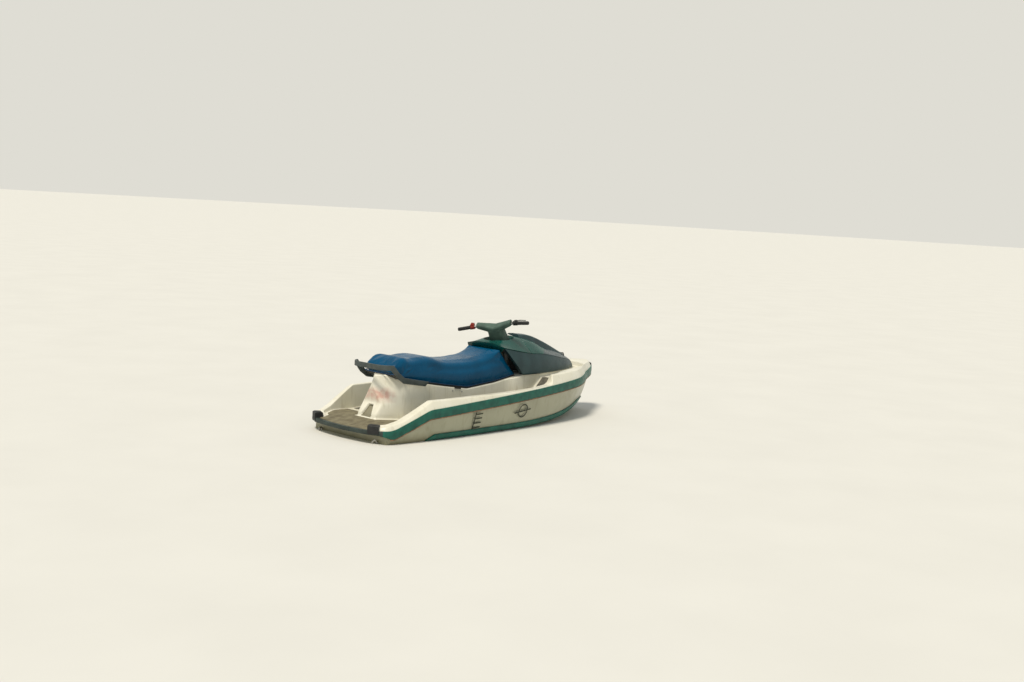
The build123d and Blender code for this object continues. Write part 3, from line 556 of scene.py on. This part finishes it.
edge = sill.copy()
ahead = np.flatnonzero(rim[:, 0] > gutter_x)
gutter_ring = [(x, -y) for x, y in gutter] + [(gutter_tip, 0)] + [(x, y) for x, y in gutter[::-1]]
edge[ahead] = thread(gutter_ring, len(ahead))
crest_z = np.maximum(soft(crest, rim[:, 0], 0.012), rail_top_z + 0.001)
slope_in = moved_in(0.005 + 0.53 * (crest_z - rail_top_z))
edge_z = floor_height(edge[:, 0])
inner_z = np.maximum(soft(crest, edge[:, 0], 0.012), edge_z + 0.002)
open_stern = np.clip((0.340 - abs(rim[:, 1])) / 0.020, 0, 1) * (rim[:, 0] < -1.45)
crest_z = crest_z + (floor_height(slope_in[:, 0]) - crest_z) * open_stern
inner_z = inner_z + (edge_z + 0.0002 - inner_z) * open_stern
inward = (sill - rim) / 0.084
deck_points = [
    (moved_in(0.016), rail_top_z - 0.030), (moved_in(0.005), rail_top_z), (slope_in, crest_z),
    (edge, inner_z), (edge + inward * 0.006, edge_z), (edge + inward * 0.030, edge_z),
]
deck_rows = np.stack([np.concatenate([plan, z[:, None]], 1) for plan, z in deck_points], 1)
deck_rows = rounded(deck_rows, [0.003, 0.014, 0.012, 0.022], 6)
from_cap = np.hypot(deck_rows[..., 0] - cap_x, deck_rows[..., 1] - cap_y)
boss = np.clip((boss_radius - from_cap) / boss_edge, 0, 1) * (deck_rows[..., 2] > 0.36)
deck_rows[..., 2] += (boss_top - deck_rows[..., 2]) * boss
deck_faces, below = quads(*deck_rows.shape[:2], wrap_rows=True), (0, 0, -9)
gunwale = piece("deck_gunwale", deck_rows, deck_faces, deck_gelcoat, "cream_gelcoat", sharp=60, facing=below)
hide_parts("deck_moulding")

# Pedestal: the raised middle of the same moulding, with a sloping foot that narrows to a ridge.
# The foot has a sunk panel, painted darker inside as shade, and above it a faded plain red patch.
seat_line = [
    (-1.700, 0.488), (-1.194, 0.488), (-1.174, 0.492), (-1.120, 0.461), (-0.835, 0.410), (-0.627, 0.376),
    (-0.347, 0.336), (0.000, 0.366), (0.272, 0.411), (0.288, 0.425), (1.7, 0.425),
]
ridge = [
    (0.040, -1.310, 0.112), (0.168, -1.310, 0.112), (0.262, -1.250, 0.112), (0.409, -1.262, 0.006),
    (0.520, -1.220, 0.006),
]
cowl_table = [
    (0.030, 0.248, 0.222, 0.676, 0.100, 0.688, 0.690), (0.150, 0.268, 0.243, 0.650, 0.110, 0.722, 0.730),
    (0.300, 0.280, 0.255, 0.624, 0.112, 0.743, 0.752), (0.450, 0.280, 0.252, 0.604, 0.108, 0.727, 0.737),
    (0.600, 0.268, 0.238, 0.592, 0.104, 0.690, 0.700), (0.750, 0.246, 0.214, 0.568, 0.098, 0.630, 0.642),
    (0.930, 0.205, 0.172, 0.535, 0.084, 0.584, 0.604), (1.100, 0.148, 0.118, 0.504, 0.056, 0.534, 0.550),
    (1.235, 0.078, 0.058, 0.468, 0.026, 0.486, 0.500), (1.290, 0.026, 0.018, 0.440, 0.008, 0.458, 0.463),
]
share = np.concatenate([k + np.linspace(0, 1, n)[:-1] for k, n in enumerate([30, 36, 64, 16, 60])] + [[5]])
part = np.minimum(share.astype(int), 4)
along = (share - part)[:, None]


def lean(z):
    """Inward lean of the pedestal wall at a height: 1.6 degrees."""
    return (z - 0.040) * math.tan(math.radians(1.6))


def eased(rows, reach=5):
    """Mean of each row and its neighbours on both sides, mirrored over the middle at the start."""
    rows = np.concatenate([rows[reach:0:-1] * (1, -1), rows, rows[-1:].repeat(reach, 0)])
    return np.mean([rows[k:len(rows) - 2 * reach + k] for k in range(2 * reach + 1)], axis=0)


def wall_plan(z):
    """Plan of the port wall at heights z: straight between its corners, then along the cowl's foot."""
    heights, *columns = np.array(ridge).T
    around = (-0.012, 0, 0.012)
    rear_x, rear_half = (np.mean([np.interp(z + d, heights, c) for d in around], axis=0) for c in columns)
    zero, side, row = 0 * z, 0.214 - lean(z), np.arange(len(z))
    x = np.stack([rear_x, rear_x, zero - 1.060, zero + 0.140, zero + 0.240, zero + 1.283])
    y = np.stack([zero, rear_half, side, side, side + 0.052, zero])
    x, y = (c[part, row] * (1 - along) + c[part + 1, row] * along for c in (x, y))
    foot = fair(cowl_table, x.ravel())[:, 0].reshape(x.shape) - 0.007 - lean(z)
    return eased(np.stack([x, np.where(part[:, None] == 4, foot, y)], -1))


levels = [np.linspace(0, 0.38, 46), np.linspace(0.38, 0.96, 22)[1:], np.linspace(0.96, 1, 8)[1:]]
levels = np.concatenate(levels)
wall_z = np.full((len(share), len(levels)), 0.25)
for _ in range(6):
    wall = wall_plan(wall_z)
    foot_z = floor_height(wall[..., 0])
    head_z = np.maximum(soft(seat_line, wall[..., 0], 0.008), foot_z + 0.004)
    wall_z = foot_z + (head_z - foot_z) * levels
run = unit(np.gradient(wall, axis=0))
outward = np.stack([-run[..., 1], run[..., 0]], -1)


def arc_off(from_edge, radius):
    """How far a rounded edge lies inside its corner: r - sqrt(r r - (r - d) (r - d)), d up to r."""
    left = 1 - np.clip(from_edge / radius, 0, 1)
    return radius * (1 - np.sqrt(np.clip(1 - left**2, 0, 1)))


panel_z, panel_halves, panel_edge, panel_sunk = (0.160, 0.245), (0.062, 0.030), 0.006, (0.017, 0, -0.011)
panel = np.clip((np.interp(wall_z, panel_z, panel_halves) - wall[..., 1]) / panel_edge, 0, 1)
panel = panel * np.clip((wall_z - panel_z[0] + 0.002) / panel_edge, 0, 1)
panel = panel * np.clip((panel_z[1] + 0.003 - wall_z) / panel_edge, 0, 1) * (part[:, None] == 0)
wall = wall + outward * (arc_off(wall_z - foot_z, 0.020) - arc_off(head_z - wall_z, 0.009))[..., None]
wall_rows = np.concatenate([wall, wall_z[..., None] - 0.001 * (levels == 0)[:, None]], -1)
wall_rows = wall_rows + panel[..., None] * panel_sunk


def within(tree, axes, share, limits):
    """Pattern times a ramp from 0 to 1 between two values along each axis named."""
    for axis, none, full in limits:
        share = maths(tree, "MULTIPLY", share, ramp(tree, axes.outputs[axis], none, full))
    return share


made, tree, shader, place, base = gelcoat("pedestal_gelcoat_sprayed", "#e6e2d0", "#dbd6c0", "#a3946f", -1.0)
axes = put(tree, "SeparateXYZ", {"Vector": place})
print_mm, print_strength = 42, 0.55
print_limits = (("Z", 0.262, 0.310), ("Z", 0.400, 0.350), ("X", -1.120, -1.190))
worn = within(tree, axes, patches(tree, place, print_mm, 0.25, 0.6), print_limits)
base = blend(tree, maths(tree, "MULTIPLY", worn, print_strength), base, "#b9553f")
across = maths(tree, "ABSOLUTE", axes.outputs["Y"])
# Painted shade: the sunk panel in the foot is coloured dark grey-olive to stand in for the shade inside it.
recess_shade_half = ramp(tree, axes.outputs["Z"], 0.149, 0.236, 0.060, 0.028)
recess_shade = ramp(tree, maths(tree, "SUBTRACT", recess_shade_half, across), 0.0, 0.003)
recess_shade = within(tree, axes, recess_shade, (("Z", 0.146, 0.150), ("Z", 0.240, 0.236), ("X", -1.196, -1.200)))
wire(tree, shader, {"Base Color": blend(tree, recess_shade, base, "#858069")})
piece("deck_pedestal", *mirrored(wall_rows), made, "cream_gelcoat", sharp=50, facing=(0, 0, 0.3))
bay_x, bay_half, bay_floor = (-0.740, 0.190), 0.120, -0.125
top_edge = wall_rows[:, -1]
top_x = [np.linspace(top_edge[0, 0], 1.280, 240), bay_x, np.array(bay_x) + 1e-5]
top_x = np.sort(np.concatenate(top_x))
top_out = np.interp(top_x, top_edge[2:, 0], top_edge[2:, 1])
top_in = np.where((top_x > bay_x[0]) & (top_x <= bay_x[1]), bay_half, 0.0)
top_y = top_in[:, None] + (top_out - top_in)[:, None] * np.linspace(0, 1, 7)
top_z = soft(seat_line, top_x, 0.008)
top_rows = np.stack(np.broadcast_arrays(top_x[:, None], top_y, top_z[:, None]), -1)
piece("deck_pedestal_top", *mirrored(top_rows), deck_gelcoat, "cream_gelcoat", facing=below)
bay_run = np.linspace(*bay_x, 60)
bay_zero = 0 * bay_run
bay_heights = (soft(seat_line, bay_run, 0.008), bay_zero + bay_floor)
bay_side = sections(bay_run, [(bay_zero + bay_half, z) for z in bay_heights])
bay_ring = np.concatenate([bay_side, bay_side[::-1] * (1, -1, 1)])
bay_faces = quads(*bay_ring.shape[:2], wrap_rows=True) + [list(range(1, 2 * len(bay_ring), 2))]
laminate = moulded("bay_laminate_flowcoated", "#a9a89c", "#8f8e84", (0.5, 0.7), 80, 0.3, 6.0)
piece("engine_bay_liner", bay_ring, bay_faces, laminate, "cream_gelcoat", facing="in")
inner_half = sill[bow_tip:1008][::-1]
inner_half = inner_half[np.argsort(inner_half[:, 0])]
ahead = np.linspace(gutter_x, gutter_tip, 200)
gutter_y = np.interp(ahead, edge[bow_tip:942][::-1, 0], edge[bow_tip:942][::-1, 1])
aft_part = inner_half[inner_half[:, 0] < gutter_x]
floor_x = np.concatenate([aft_part[:, 0], ahead])
outer_y = np.concatenate([aft_part[:, 1], gutter_y])
foot = wall[:, 0] + outward[:, 0] * -0.016
inner_y = np.where(floor_x > -1.300, np.interp(floor_x, foot[30:, 0], foot[30:, 1]), 0)
inner_y = np.clip(inner_y, 0, outer_y)
floor_y = inner_y[:, None] + (outer_y + 0.004 - inner_y)[:, None] * np.linspace(0, 1, 9)
floor_rows = np.stack(np.broadcast_arrays(floor_x[:, None], floor_y, floor_height(floor_x)[:, None]), -1)
piece("deck_floor", *mirrored(floor_rows), deck_gelcoat, "cream_gelcoat", facing=below)

# Mats: ribbed rubber sheets, glued in the footwells, on the ramped toe ends and on the platform.
# The ribs run across the boat; silt has turned the platform's mat pale.
dark_mat = moulded("mat_rubber_moulded", "#6e6a5c", "#4c4b44", (0.65, 0.85), 45, 0.2, 2.2)
pale_mat = moulded("mat_rubber_silted", "#7f7860", "#645d49", (0.7, 0.88), 60, 0.2, 2.2)
shares = np.array([0, 0.0, 0.03, 0.06, 0.5, 0.94, 0.97, 1.0, 1.0])
mat_rise = np.array([-0.002, 0.004, 0.005, 0.005, 0.005, 0.005, 0.005, 0.004, -0.002])
mat_rib = np.array([0, 0, 0, 1, 1, 1, 0, 0, 0])
mat_faces_up = {"sharp": 60, "facing": below}


def ribbed(x, low, high, pitch=0.012):
    """Sheet over the floor between two edges, with ribs 0.0016 sin(pi x / pitch) ** 2 high."""
    y = low[:, None] * (1 - shares) + high[:, None] * shares
    x = x if x.ndim == 2 else x[:, None] + 0 * y
    z = floor_height(x) + mat_rise + 0.0016 * np.sin(np.pi * x / pitch)**2 * mat_rib
    rows = np.stack([x, y, z], -1)
    rows = np.concatenate([rows[:1], rows, rows[-1:]])
    rows[[0, -1], :, 2] -= 0.006
    return rows


def edge_at(inset):
    """Outer edge y(x) of a mat, a distance inside the rub rail's outline."""
    half = moved_in(inset)[bow_tip:1008][::-1]
    half = half[np.argsort(half[:, 0])]
    return lambda x: np.interp(x, half[:, 0], half[:, 1])


outer_edge = edge_at(0.106)
foot_x = np.arange(-1.060, 0.280, 0.003)
foot_rows = ribbed(foot_x, np.interp(foot_x, [0.14, 0.24], [0.236, 0.288]), outer_edge(foot_x))
foot_mats = piece("footwell_mat_strips", *mirrored(foot_rows), dark_mat, "mat_rubber", **mat_faces_up)
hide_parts("footwell_mats")
toe_x = np.arange(0.322, 0.560, 0.003)
toe_rows = ribbed(toe_x, 0.290 + 0 * toe_x, np.maximum(outer_edge(toe_x), 0.304))
toe_mats = piece("toe_mat_strips", *mirrored(toe_rows), dark_mat, "mat_rubber", **mat_faces_up)
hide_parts("toe_mats")
plat_half, plat_front = 0.304, -1.332
stern_line = moved_in(0.030)[962:1054][::-1]
forward = np.linspace(0, 1, 90)[:, None]
start_x = np.interp(plat_half * (2 * shares - 1), stern_line[:, 1], stern_line[:, 0])
plat_x = start_x * (1 - forward) + plat_front * forward
plat_y = np.maximum(plat_half, outer_edge(plat_x[:, 4]))
aft_rows = ribbed(plat_x, -plat_y, plat_y)
beside_x = np.arange(plat_front, -1.150, 0.003)
beside_y = np.interp(beside_x, [plat_front, -1.060], [0.134, 0.236])
beside_points, beside_faces = mirrored(ribbed(beside_x, beside_y, outer_edge(beside_x)))
aft_points, aft_faces = sheet(aft_rows)
mat_points = np.concatenate([aft_points, beside_points])
mat_faces = aft_faces + [[v + len(aft_points) for v in f] for f in beside_faces]
stern_mat = piece("platform_mat_strips", mat_points, mat_faces, pale_mat, "mat_rubber", **mat_faces_up)
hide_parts("platform_mat")

# Cowl: a dark satin moulding round the steering, screwed to the deck.
# Its rear edge is raked to follow the seat's front and turns in behind it.
slate = moulded("cowl_plastic_moulded", "#2a4447", "#21373a", (0.3, 0.45), 120, 0.05, 3.0, coat=0.06)
teal_gelcoat = moulded("teal_gelcoat_sprayed", "#0a4a42", "#083c36", (0.22, 0.36), 150, 0.05, 6.0, coat=0.06)
cowl_foot, hood_x, nose_x = 0.425, 0.414, 1.146


def cowl_rear(z):
    """Rear edge of the cowl over height."""
    return np.interp(z, [0.430, 0.690], [0.285, 0.058])


cowl_bulge, cowl_wall, lid_wall, joint_gap = 0.005, 0.004, 0.006, 0.003
up = np.linspace(0, 1, 16)[None]
forward = np.linspace(0, 1, 130)[:, None]
cowl_x = cowl_rear(0.5) + forward * (nose_x - joint_gap - cowl_rear(0.5)) + 0 * up
for _ in range(5):
    cut = fair(cowl_table, cowl_x.ravel()).reshape(*cowl_x.shape, 6)
    cowl_z = cowl_foot + up * (cut[..., 2] - cowl_foot)
    cowl_x = cowl_rear(cowl_z) + forward * (nose_x - joint_gap - cowl_rear(cowl_z))
cowl_y = cut[..., 0] * (1 - up) + cut[..., 1] * up + cowl_bulge * np.sin(np.pi * up)
side_rows = np.stack([cowl_x, cowl_y, cowl_z], -1)
flange = side_rows[:1] + [[(0.003, -0.006, 0)], [(0.004, -0.045, 0)]]
side_rows = np.concatenate([flange[::-1], side_rows])
side_rows = np.concatenate([side_rows, side_rows[:, -1:] + (0, -0.012, -0.003)], axis=1)
cowl = piece("cowl_sides", *mirrored(side_rows), slate, "slate_plastic", sharp=50, facing=(0.6, 0, 0.3))
thicken(cowl, cowl_wall)
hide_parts("cowl")


def cowl_rows(x, foot):
    """Sections of the top from the foot or the split line, closed below; port lacks its foot point."""
    foot_y, split_y, split_z, shoulder_y, shoulder_z, crown_z = fair(cowl_table, x).T
    zero = 0 * x
    low = (foot_y, cowl_foot + zero) if foot else (split_y - 0.010, split_z - 0.006)
    gap = 0 if foot else 0.004
    line = [low, (split_y, split_z + gap), (shoulder_y, shoulder_z + 0.004), (zero, crown_z)]
    return whole(rounded(sections(x, line), [0.018 if foot else 0.004, 0.075], 12))


pivot, axis = np.array([0.18, 0, 0.84]), np.array([-0.5, 0, math.sqrt(0.75)])
upper_x, well_radius, well_edge, well_depth = 0.06, 0.128, 0.010, 0.202
upper_rows = cowl_rows(upper_x + np.linspace(0, 1, 90) * (hood_x - joint_gap - upper_x), False)
rear_x = cowl_rear(upper_rows[..., 2])
forward = (upper_rows[..., 0] - upper_x) / (hood_x - joint_gap - upper_x)
stretch = rear_x + forward * (hood_x - joint_gap - rear_x)
upper_rows[..., 0] = np.where(upper_rows[..., 2] < 0.69, stretch, upper_rows[..., 0])
height = (upper_rows - pivot) @ axis
from_axis = np.linalg.norm(upper_rows - pivot - height[..., None] * axis, axis=-1)
press = np.clip((well_radius - from_axis) / well_edge, 0, 1) * np.maximum(height + well_depth, 0)
upper_rows = upper_rows - press[..., None] * axis
lip = [upper_rows[:1] * (1, 0.84, 1) + (0.003, 0, -0.040), upper_rows[:1] * (1, 0.99, 1) + (0.002, 0, -0.004)]
upper_rows = np.concatenate(lip + [upper_rows])
upper = piece("cowl_top", *sheet(upper_rows), teal_gelcoat, "teal_gelcoat", sharp=50, facing=(0.3, 0, 0.3))
thicken(upper, cowl_wall)
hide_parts("upper_cowl")

# Hood: a glossy lid hinged at the nose, sprayed teal, with its front end dark slate.
# A dark raised strip is glued along its middle.
made, tree, shader, place = start("hood_gelcoat_two_tone")
axes = put(tree, "SeparateXYZ", {"Vector": place})
dark_x, dark_rake, dark_edge = 0.894, 1.25, 0.010
across = maths(tree, "ABSOLUTE", axes.outputs["Y"])
front = maths(tree, "MULTIPLY_ADD", across, dark_rake, axes.outputs["X"])
front = ramp(tree, front, dark_x, dark_x + dark_edge)
teal = blend(tree, patches(tree, place, 150, 0.35, 0.68), "#0a4a42", "#083c36")
coat = blend(tree, front, teal, "#243a3f")
wire(tree, shader, {"Base Color": coat, "Coat Weight": 0.06, "Specular IOR Level": 0.2})
roughen(tree, shader, place, 50, (0.22, 0.36), 0.05, 6.0)
hood_rows = cowl_rows(np.linspace(hood_x + joint_gap, nose_x - 2 * joint_gap, 160), False)
hood = piece("hood_skin", *sheet(hood_rows), made, "teal_gelcoat", "hood", sharp=50, facing=(0.7, 0, 0.3))
thicken(hood, lid_wall)
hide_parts("hood")
spine = [
    (0.430, 0.062, 0.768), (0.600, 0.066, 0.749), (0.750, 0.062, 0.702), (0.930, 0.050, 0.634),
    (1.100, 0.030, 0.566), (1.135, 0.024, 0.553),
]
spine_x = np.linspace(spine[0][0], spine[-1][0], 90)
spine_half, spine_top = fair(spine, spine_x).T
cut = fair(cowl_table, spine_x)
spine_foot = cut[:, 5] - (cut[:, 5] - cut[:, 4]) * spine_half / cut[:, 3] - 0.006
line = [(spine_half + 0.014, spine_foot), (spine_half, spine_top - 0.006), (0 * spine_half, spine_top)]
spine_rows = whole(rounded(sections(spine_x, line), [0.012], 6))
strip = piece("hood_spine_strip", spine_rows, lofted(spine_rows), slate, "slate_plastic", "hood", sharp=50)
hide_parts("hood_spine")
nose_rows = cowl_rows(np.concatenate([np.linspace(nose_x, 1.285, 40), [1.290]]), True)
nose_points, nose_faces = sheet(nose_rows)
nose_faces.append(list(range(len(nose_points) - nose_rows.shape[1], len(nose_points))))
nose = piece("nose_cap_skin", nose_points, nose_faces, slate, "slate_plastic", sharp=50, facing=(1.1, 0, 0.3))
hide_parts("nose_cap")

# Seat: coated blue vinyl sewn and drawn over a foam block on a stiff pan, with a welt at its foot.
# The coating is glossy and a little slack, with a white highlight on the rear step.
vinyl, tree, shader, place = start("blue_vinyl_sewn")
faded = patches(tree, place, 160, 0.35, 0.7)
blue = blend(tree, faded, "#014e72", "#014363")
wire(tree, shader, {"Base Color": blue, "Specular IOR Level": 0.10})
wire(tree, shader, {"Coat Weight": 0.08, "Coat Roughness": 0.1})
roughen(tree, shader, place, 60, (0.24, 0.36), 0.05, 2.5)


def copied(node, name):
    """A node's mesh as a new object, its doubles merged and its flat faces joined."""
    work = bmesh.new()
    work.from_mesh(bpy.data.objects[node].data)
    bmesh.ops.remove_doubles(work, verts=work.verts, dist=1e-5)
    bmesh.ops.dissolve_limit(work, angle_limit=math.radians(1), verts=work.verts, edges=work.edges)
    mesh = bpy.data.meshes.new(name)
    work.to_mesh(mesh)
    work.free()
    thing = bpy.data.objects.new(name, mesh)
    bpy.context.scene.collection.objects.link(thing)
    return thing


def dressed(thing, node, material, body, sharp=35):
    """Gives a finished copy its material and smooth faces, and puts it in the node's place."""
    thing.data.materials.clear()
    thing.data.materials.append(material)
    thing.data.shade_smooth()
    thing.data.set_sharp_from_angle(angle=math.radians(sharp))
    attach(thing, body)
    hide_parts(node)


def remeshed(node, name, voxel, passes):
    """Copy of a node as an even mesh of small faces, its edges softened."""
    thing = copied(node, name)
    grid = thing.modifiers.new("voxels", "REMESH")
    grid.mode, grid.voxel_size = "VOXEL", voxel
    ease = thing.modifiers.new("ease", "SMOOTH")
    ease.iterations, ease.factor = passes, 0.6
    return settle(thing)


def places(mesh):
    """Vertices as an array."""
    out = np.empty(3 * len(mesh.vertices))
    mesh.vertices.foreach_get("co", out)
    return out.reshape(-1, 3)


# The foam's rear hump has sunk and leans forward over the pan, and its rear corners are worn in.
foam_sink, foam_lean, foam_narrow, pan_thick, staple_reach = 0.015, 0.026, 0.10, 0.014, 0.016
cushion = remeshed("seat_cushion", "seat_cover", 0.008, 10)
begin = places(cushion.data)
hump = np.clip((-0.72 - begin[:, 0]) / 0.12, 0, 1) * np.clip((begin[:, 2] - 0.54) / 0.06, 0, 1)
rear = np.clip((-1.02 - begin[:, 0]) / 0.15, 0, 1) * np.clip((begin[:, 2] - 0.520) / 0.09, 0, 1)
begin += np.stack([foam_lean * rear, -foam_narrow * begin[:, 1] * rear**2, -foam_sink * hump], 1)
cushion.data.vertices.foreach_set("co", begin.ravel())
pan_z = soft(seat_line, begin[:, 0], 0.01) + pan_thick
held = np.flatnonzero(begin[:, 2] < pan_z + staple_reach)
cover_pressure, cover_stiffness, cover_rise, settle_frames = 3.0, 25, 0.010, 20
group = cushion.vertex_groups.new(name="stapled")
group.add(held.tolist(), 1.0, "REPLACE")
cloth = cushion.modifiers.new("cover", "CLOTH")
cloth.settings.vertex_group_mass = "stapled"
cloth.settings.use_pressure, cloth.settings.uniform_pressure_force = True, cover_pressure
cloth.settings.effector_weights.gravity = 0
cloth.settings.tension_stiffness = cloth.settings.compression_stiffness = cover_stiffness
cloth.settings.quality = 5
cloth.point_cache.frame_start, cloth.point_cache.frame_end = 1, settle_frames
for moment in range(1, settle_frames + 1):
    bpy.context.scene.frame_set(moment)
settle(cushion)
move = places(cushion.data) - begin
length = np.linalg.norm(move, axis=1, keepdims=True) + 1e-9
final = begin + move / length * cover_rise * np.tanh(length / cover_rise)
cushion.data.vertices.foreach_set("co", final.ravel())
bpy.context.scene.frame_set(1)
last = cushion.modifiers.new("round", "SUBSURF")
last.levels = last.render_levels = 1
settle(cushion)
dressed(cushion, "seat_cushion", vinyl, "seat", 60)


def tube(path, radius, name, material, slot, body):
    """Round bar along a path: a ring of 12 points square to it at each point, and two caps."""
    run = unit(np.gradient(path, axis=0))
    side = unit(np.cross(run, (0, 0, 1)))
    up = np.cross(side, run)
    turn = np.linspace(0, 2 * np.pi, 13)[:-1]
    ring = np.cos(turn)[None, :, None] * side[:, None] + np.sin(turn)[None, :, None] * up[:, None]
    rows = path[:, None] + ring * np.reshape(radius, (-1, 1, 1))
    return piece(name, rows, lofted(rows), material, slot, body)


bend_x, bend_radius, welt_half, welt_rear_z = -1.130, 0.070, 0.199, 0.505
welt_x = np.linspace(0.235, bend_x, 160)
welt_side = np.stack([welt_x, 0 * welt_x + welt_half, soft(seat_line, welt_x, 0.02) + 0.019], 1)
bend = np.linspace(0, np.pi / 2, 12)[1:]
bend_y = welt_half - bend_radius * (1 - np.cos(bend))
welt_bend = np.stack([bend_x - bend_radius * np.sin(bend), bend_y, 0 * bend + welt_rear_z], 1)
welt_side[:, 2] += np.clip((-1.09 - welt_x) / 0.04, 0, 1) * (welt_rear_z - welt_side[:, 2])
welt = np.concatenate([welt_side, welt_bend])
welt = np.concatenate([welt, welt[::-1] * (1, -1, 1)])
welt_vinyl = moulded("welt_vinyl_extruded", "#053f66", "#043456", (0.3, 0.45), 40, 0.03, 2.0)
tube(welt, 0.0035, "seat_welt", welt_vinyl, "blue_vinyl", "seat")
black_plastic = moulded("black_plastic_moulded", "#2b2c2c", "#1e1f20", (0.4, 0.6), 60, 0.06, 1.6)


def softened(node, name, material, body, width):
    """Copy of a node with its sharp edges rounded to a width in metres."""
    thing = copied(node, name)
    edge_round = thing.modifiers.new("edges", "BEVEL")
    edge_round.width, edge_round.segments, edge_round.angle_limit = width, 3, math.radians(35)
    edge_round.limit_method, edge_round.use_clamp_overlap = "ANGLE", True
    settle(thing)
    dressed(thing, node, material, body)


# Grab rail and pan: a charcoal nylon rail bolted to the black seat pan, grained.
charcoal = moulded("grab_nylon_moulded", "#4c5452", "#3c4341", (0.42, 0.6), 70, 0.1, 1.6)
softened("grab_handle", "grab_rail", charcoal, "seat", 0.003)


def painted(nodes, material):
    """Puts a material on every slot of some nodes."""
    for node in nodes:
        for spot in bpy.data.objects[node].material_slots:
            spot.material = material


painted(["seat_pan"], black_plastic)

# Steering: a soft grained pad over the column's head, a bent steel bar and ribbed rubber grips.
# The throttle sits on the starboard side, the stop switch on the port side.
pad_skin = moulded("pad_urethane_skinned", "#4c6257", "#3d5047", (0.5, 0.68), 60, 0.12, 1.8)
pad = remeshed("steering_pad", "steering_pad_cover", 0.004, 8)
dressed(pad, "steering_pad", pad_skin, "steering", 60)
steel = moulded("steel_tube_polished", "#b9b8b3", "#9d9b95", (0.2, 0.36), 50, 0.02, 1.0, metal=1.0)
bar_copy = copied("handlebar", "handlebar_tube")
dressed(bar_copy, "handlebar", steel, "steering")
rake, turned = math.radians(30), math.radians(20)
bar_x = np.array([math.cos(rake) * math.cos(turned), math.sin(turned), math.sin(rake) * math.cos(turned)])
bar_y = np.array([-math.cos(rake) * math.sin(turned), math.cos(turned), -math.sin(rake) * math.sin(turned)])
bar_ends, bar_rise = ((-0.010, 0.190), (-0.034, 0.350)), 0.018
grip_radius, collar_radius, rib_high, rib_pitch = 0.0158, 0.0215, 0.0012, 0.004
t = np.linspace(0.244, 1.006, 220)
along_bar = t * math.dist(*bar_ends)
grip_profile = grip_radius + rib_high * np.sin(np.pi * along_bar / rib_pitch)**2 * (t > 0.33) * (t < 0.96)
grip_profile = np.where(t < 0.275, collar_radius, grip_profile) - 0.006 * np.clip((t - 0.985) / 0.02, 0, 1)**2
for side, label in ((1, "port"), (-1, "starboard")):
    inner, outer = (pivot + bar_x * x + bar_y * side * y + axis * bar_rise for x, y in bar_ends)
    grip_line = inner + (outer - inner) * t[:, None]
    grip = tube(grip_line, grip_profile, "grip_" + label, black_rubber, "black_rubber", "steering")
    if side == 1:
        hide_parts("grips")
softened("throttle_housing", "throttle_clamp", black_plastic, "steering", 0.002)
cast = moulded("aluminium_cast_blasted", "#a9aaa8", "#8d8e8c", (0.4, 0.58), 40, 0.08, 1.6, metal=1.0)
softened("throttle_lever", "throttle_finger_lever", cast, "steering", 0.0015)
switch_red = moulded("red_plastic_moulded", "#8f3226", "#7a281e", (0.35, 0.5), 30, 0.04, 1.4)
softened("stop_switch", "stop_switch_case", switch_red, "steering", 0.002)
softened("stop_button", "stop_button_cap", switch_red, "steering", 0.0015)
painted(["steering_shaft"], steel)
painted(["steering_mount"], cast)

# Fittings: stainless eyes, a black filler cap and drain plugs, the hood's hinge and the bow bin.
softened("bow_eye", "bow_towing_eye", steel, "hull", 0.0025)
softened("stern_eyes", "stern_towing_eyes", steel, "hull", 0.0025)
softened("fuel_cap", "fuel_screw_cap", black_plastic, "hull", 0.003)
softened("hood_hinge", "hood_hinge_ears", black_plastic, "hull", 0.0015)
painted(["drain_plugs", "storage_bin"], black_plastic)
rings, sectors = 5, 16


def stud(centre, radius, high):
    """Low dome pointing to port: radius r cos(a), height h sin(a)."""
    a, turn = np.linspace(0, np.pi / 2, rings)[:, None], np.linspace(0, 2 * np.pi, sectors + 1)[:-1]
    around = radius * np.cos(a)
    out = [around * np.cos(turn), high * np.sin(a) + 0 * turn - 0.001, around * np.sin(turn)]
    return np.array(centre) + np.stack(out, -1)


screw_high, screw_y, strap_y = 0.004, 0.2065, 0.2075
screws = [stud((x, screw_y, z), 0.008, screw_high) for x, z in ((-0.528, 0.333), (-0.416, 0.316))]
screws += [stud((x, screw_y, z), 0.005, screw_high) for x, z in ((-0.498, 0.352), (-0.440, 0.346))]
dome_faces = quads(rings, sectors, wrap_cols=True)
screw_faces = [[v + rings * sectors * k for v in f] for k in range(len(screws)) for f in dome_faces]
piece("pedestal_screws", *mirrored(np.concatenate(screws), screw_faces), steel, "steel")
strap_path = np.linspace((-0.507, strap_y, 0.356), (-0.432, strap_y, 0.347), 12)
strap_edges = [(-0.002, -0.007), (0.003, -0.006), (0.003, 0.006), (-0.002, 0.007)]
strap_rows = np.stack([strap_path + (0, out, up) for out, up in strap_edges], 1)
piece("strap_anchors", *mirrored(strap_rows, lofted(strap_rows)), black_plastic, "black_plastic")

# Engine and jet: a painted iron engine, cast aluminium pump parts dulled by salt, a steel shaft.
engine_paint = moulded("engine_iron_painted", "#6d7073", "#55585b", (0.4, 0.6), 70, 0.3, 5.0)
painted(["engine_block"], engine_paint)
painted(["impeller"], steel)
castings = {
    "pump_housing": "hull", "intake_grate": "hull", "ride_plate": "hull", "steering_nozzle": "jet_nozzle",
    "reverse_gate": "gate",
}
for node, body in castings.items():
    softened(node, node + "_casting", cast, body, 0.0015)
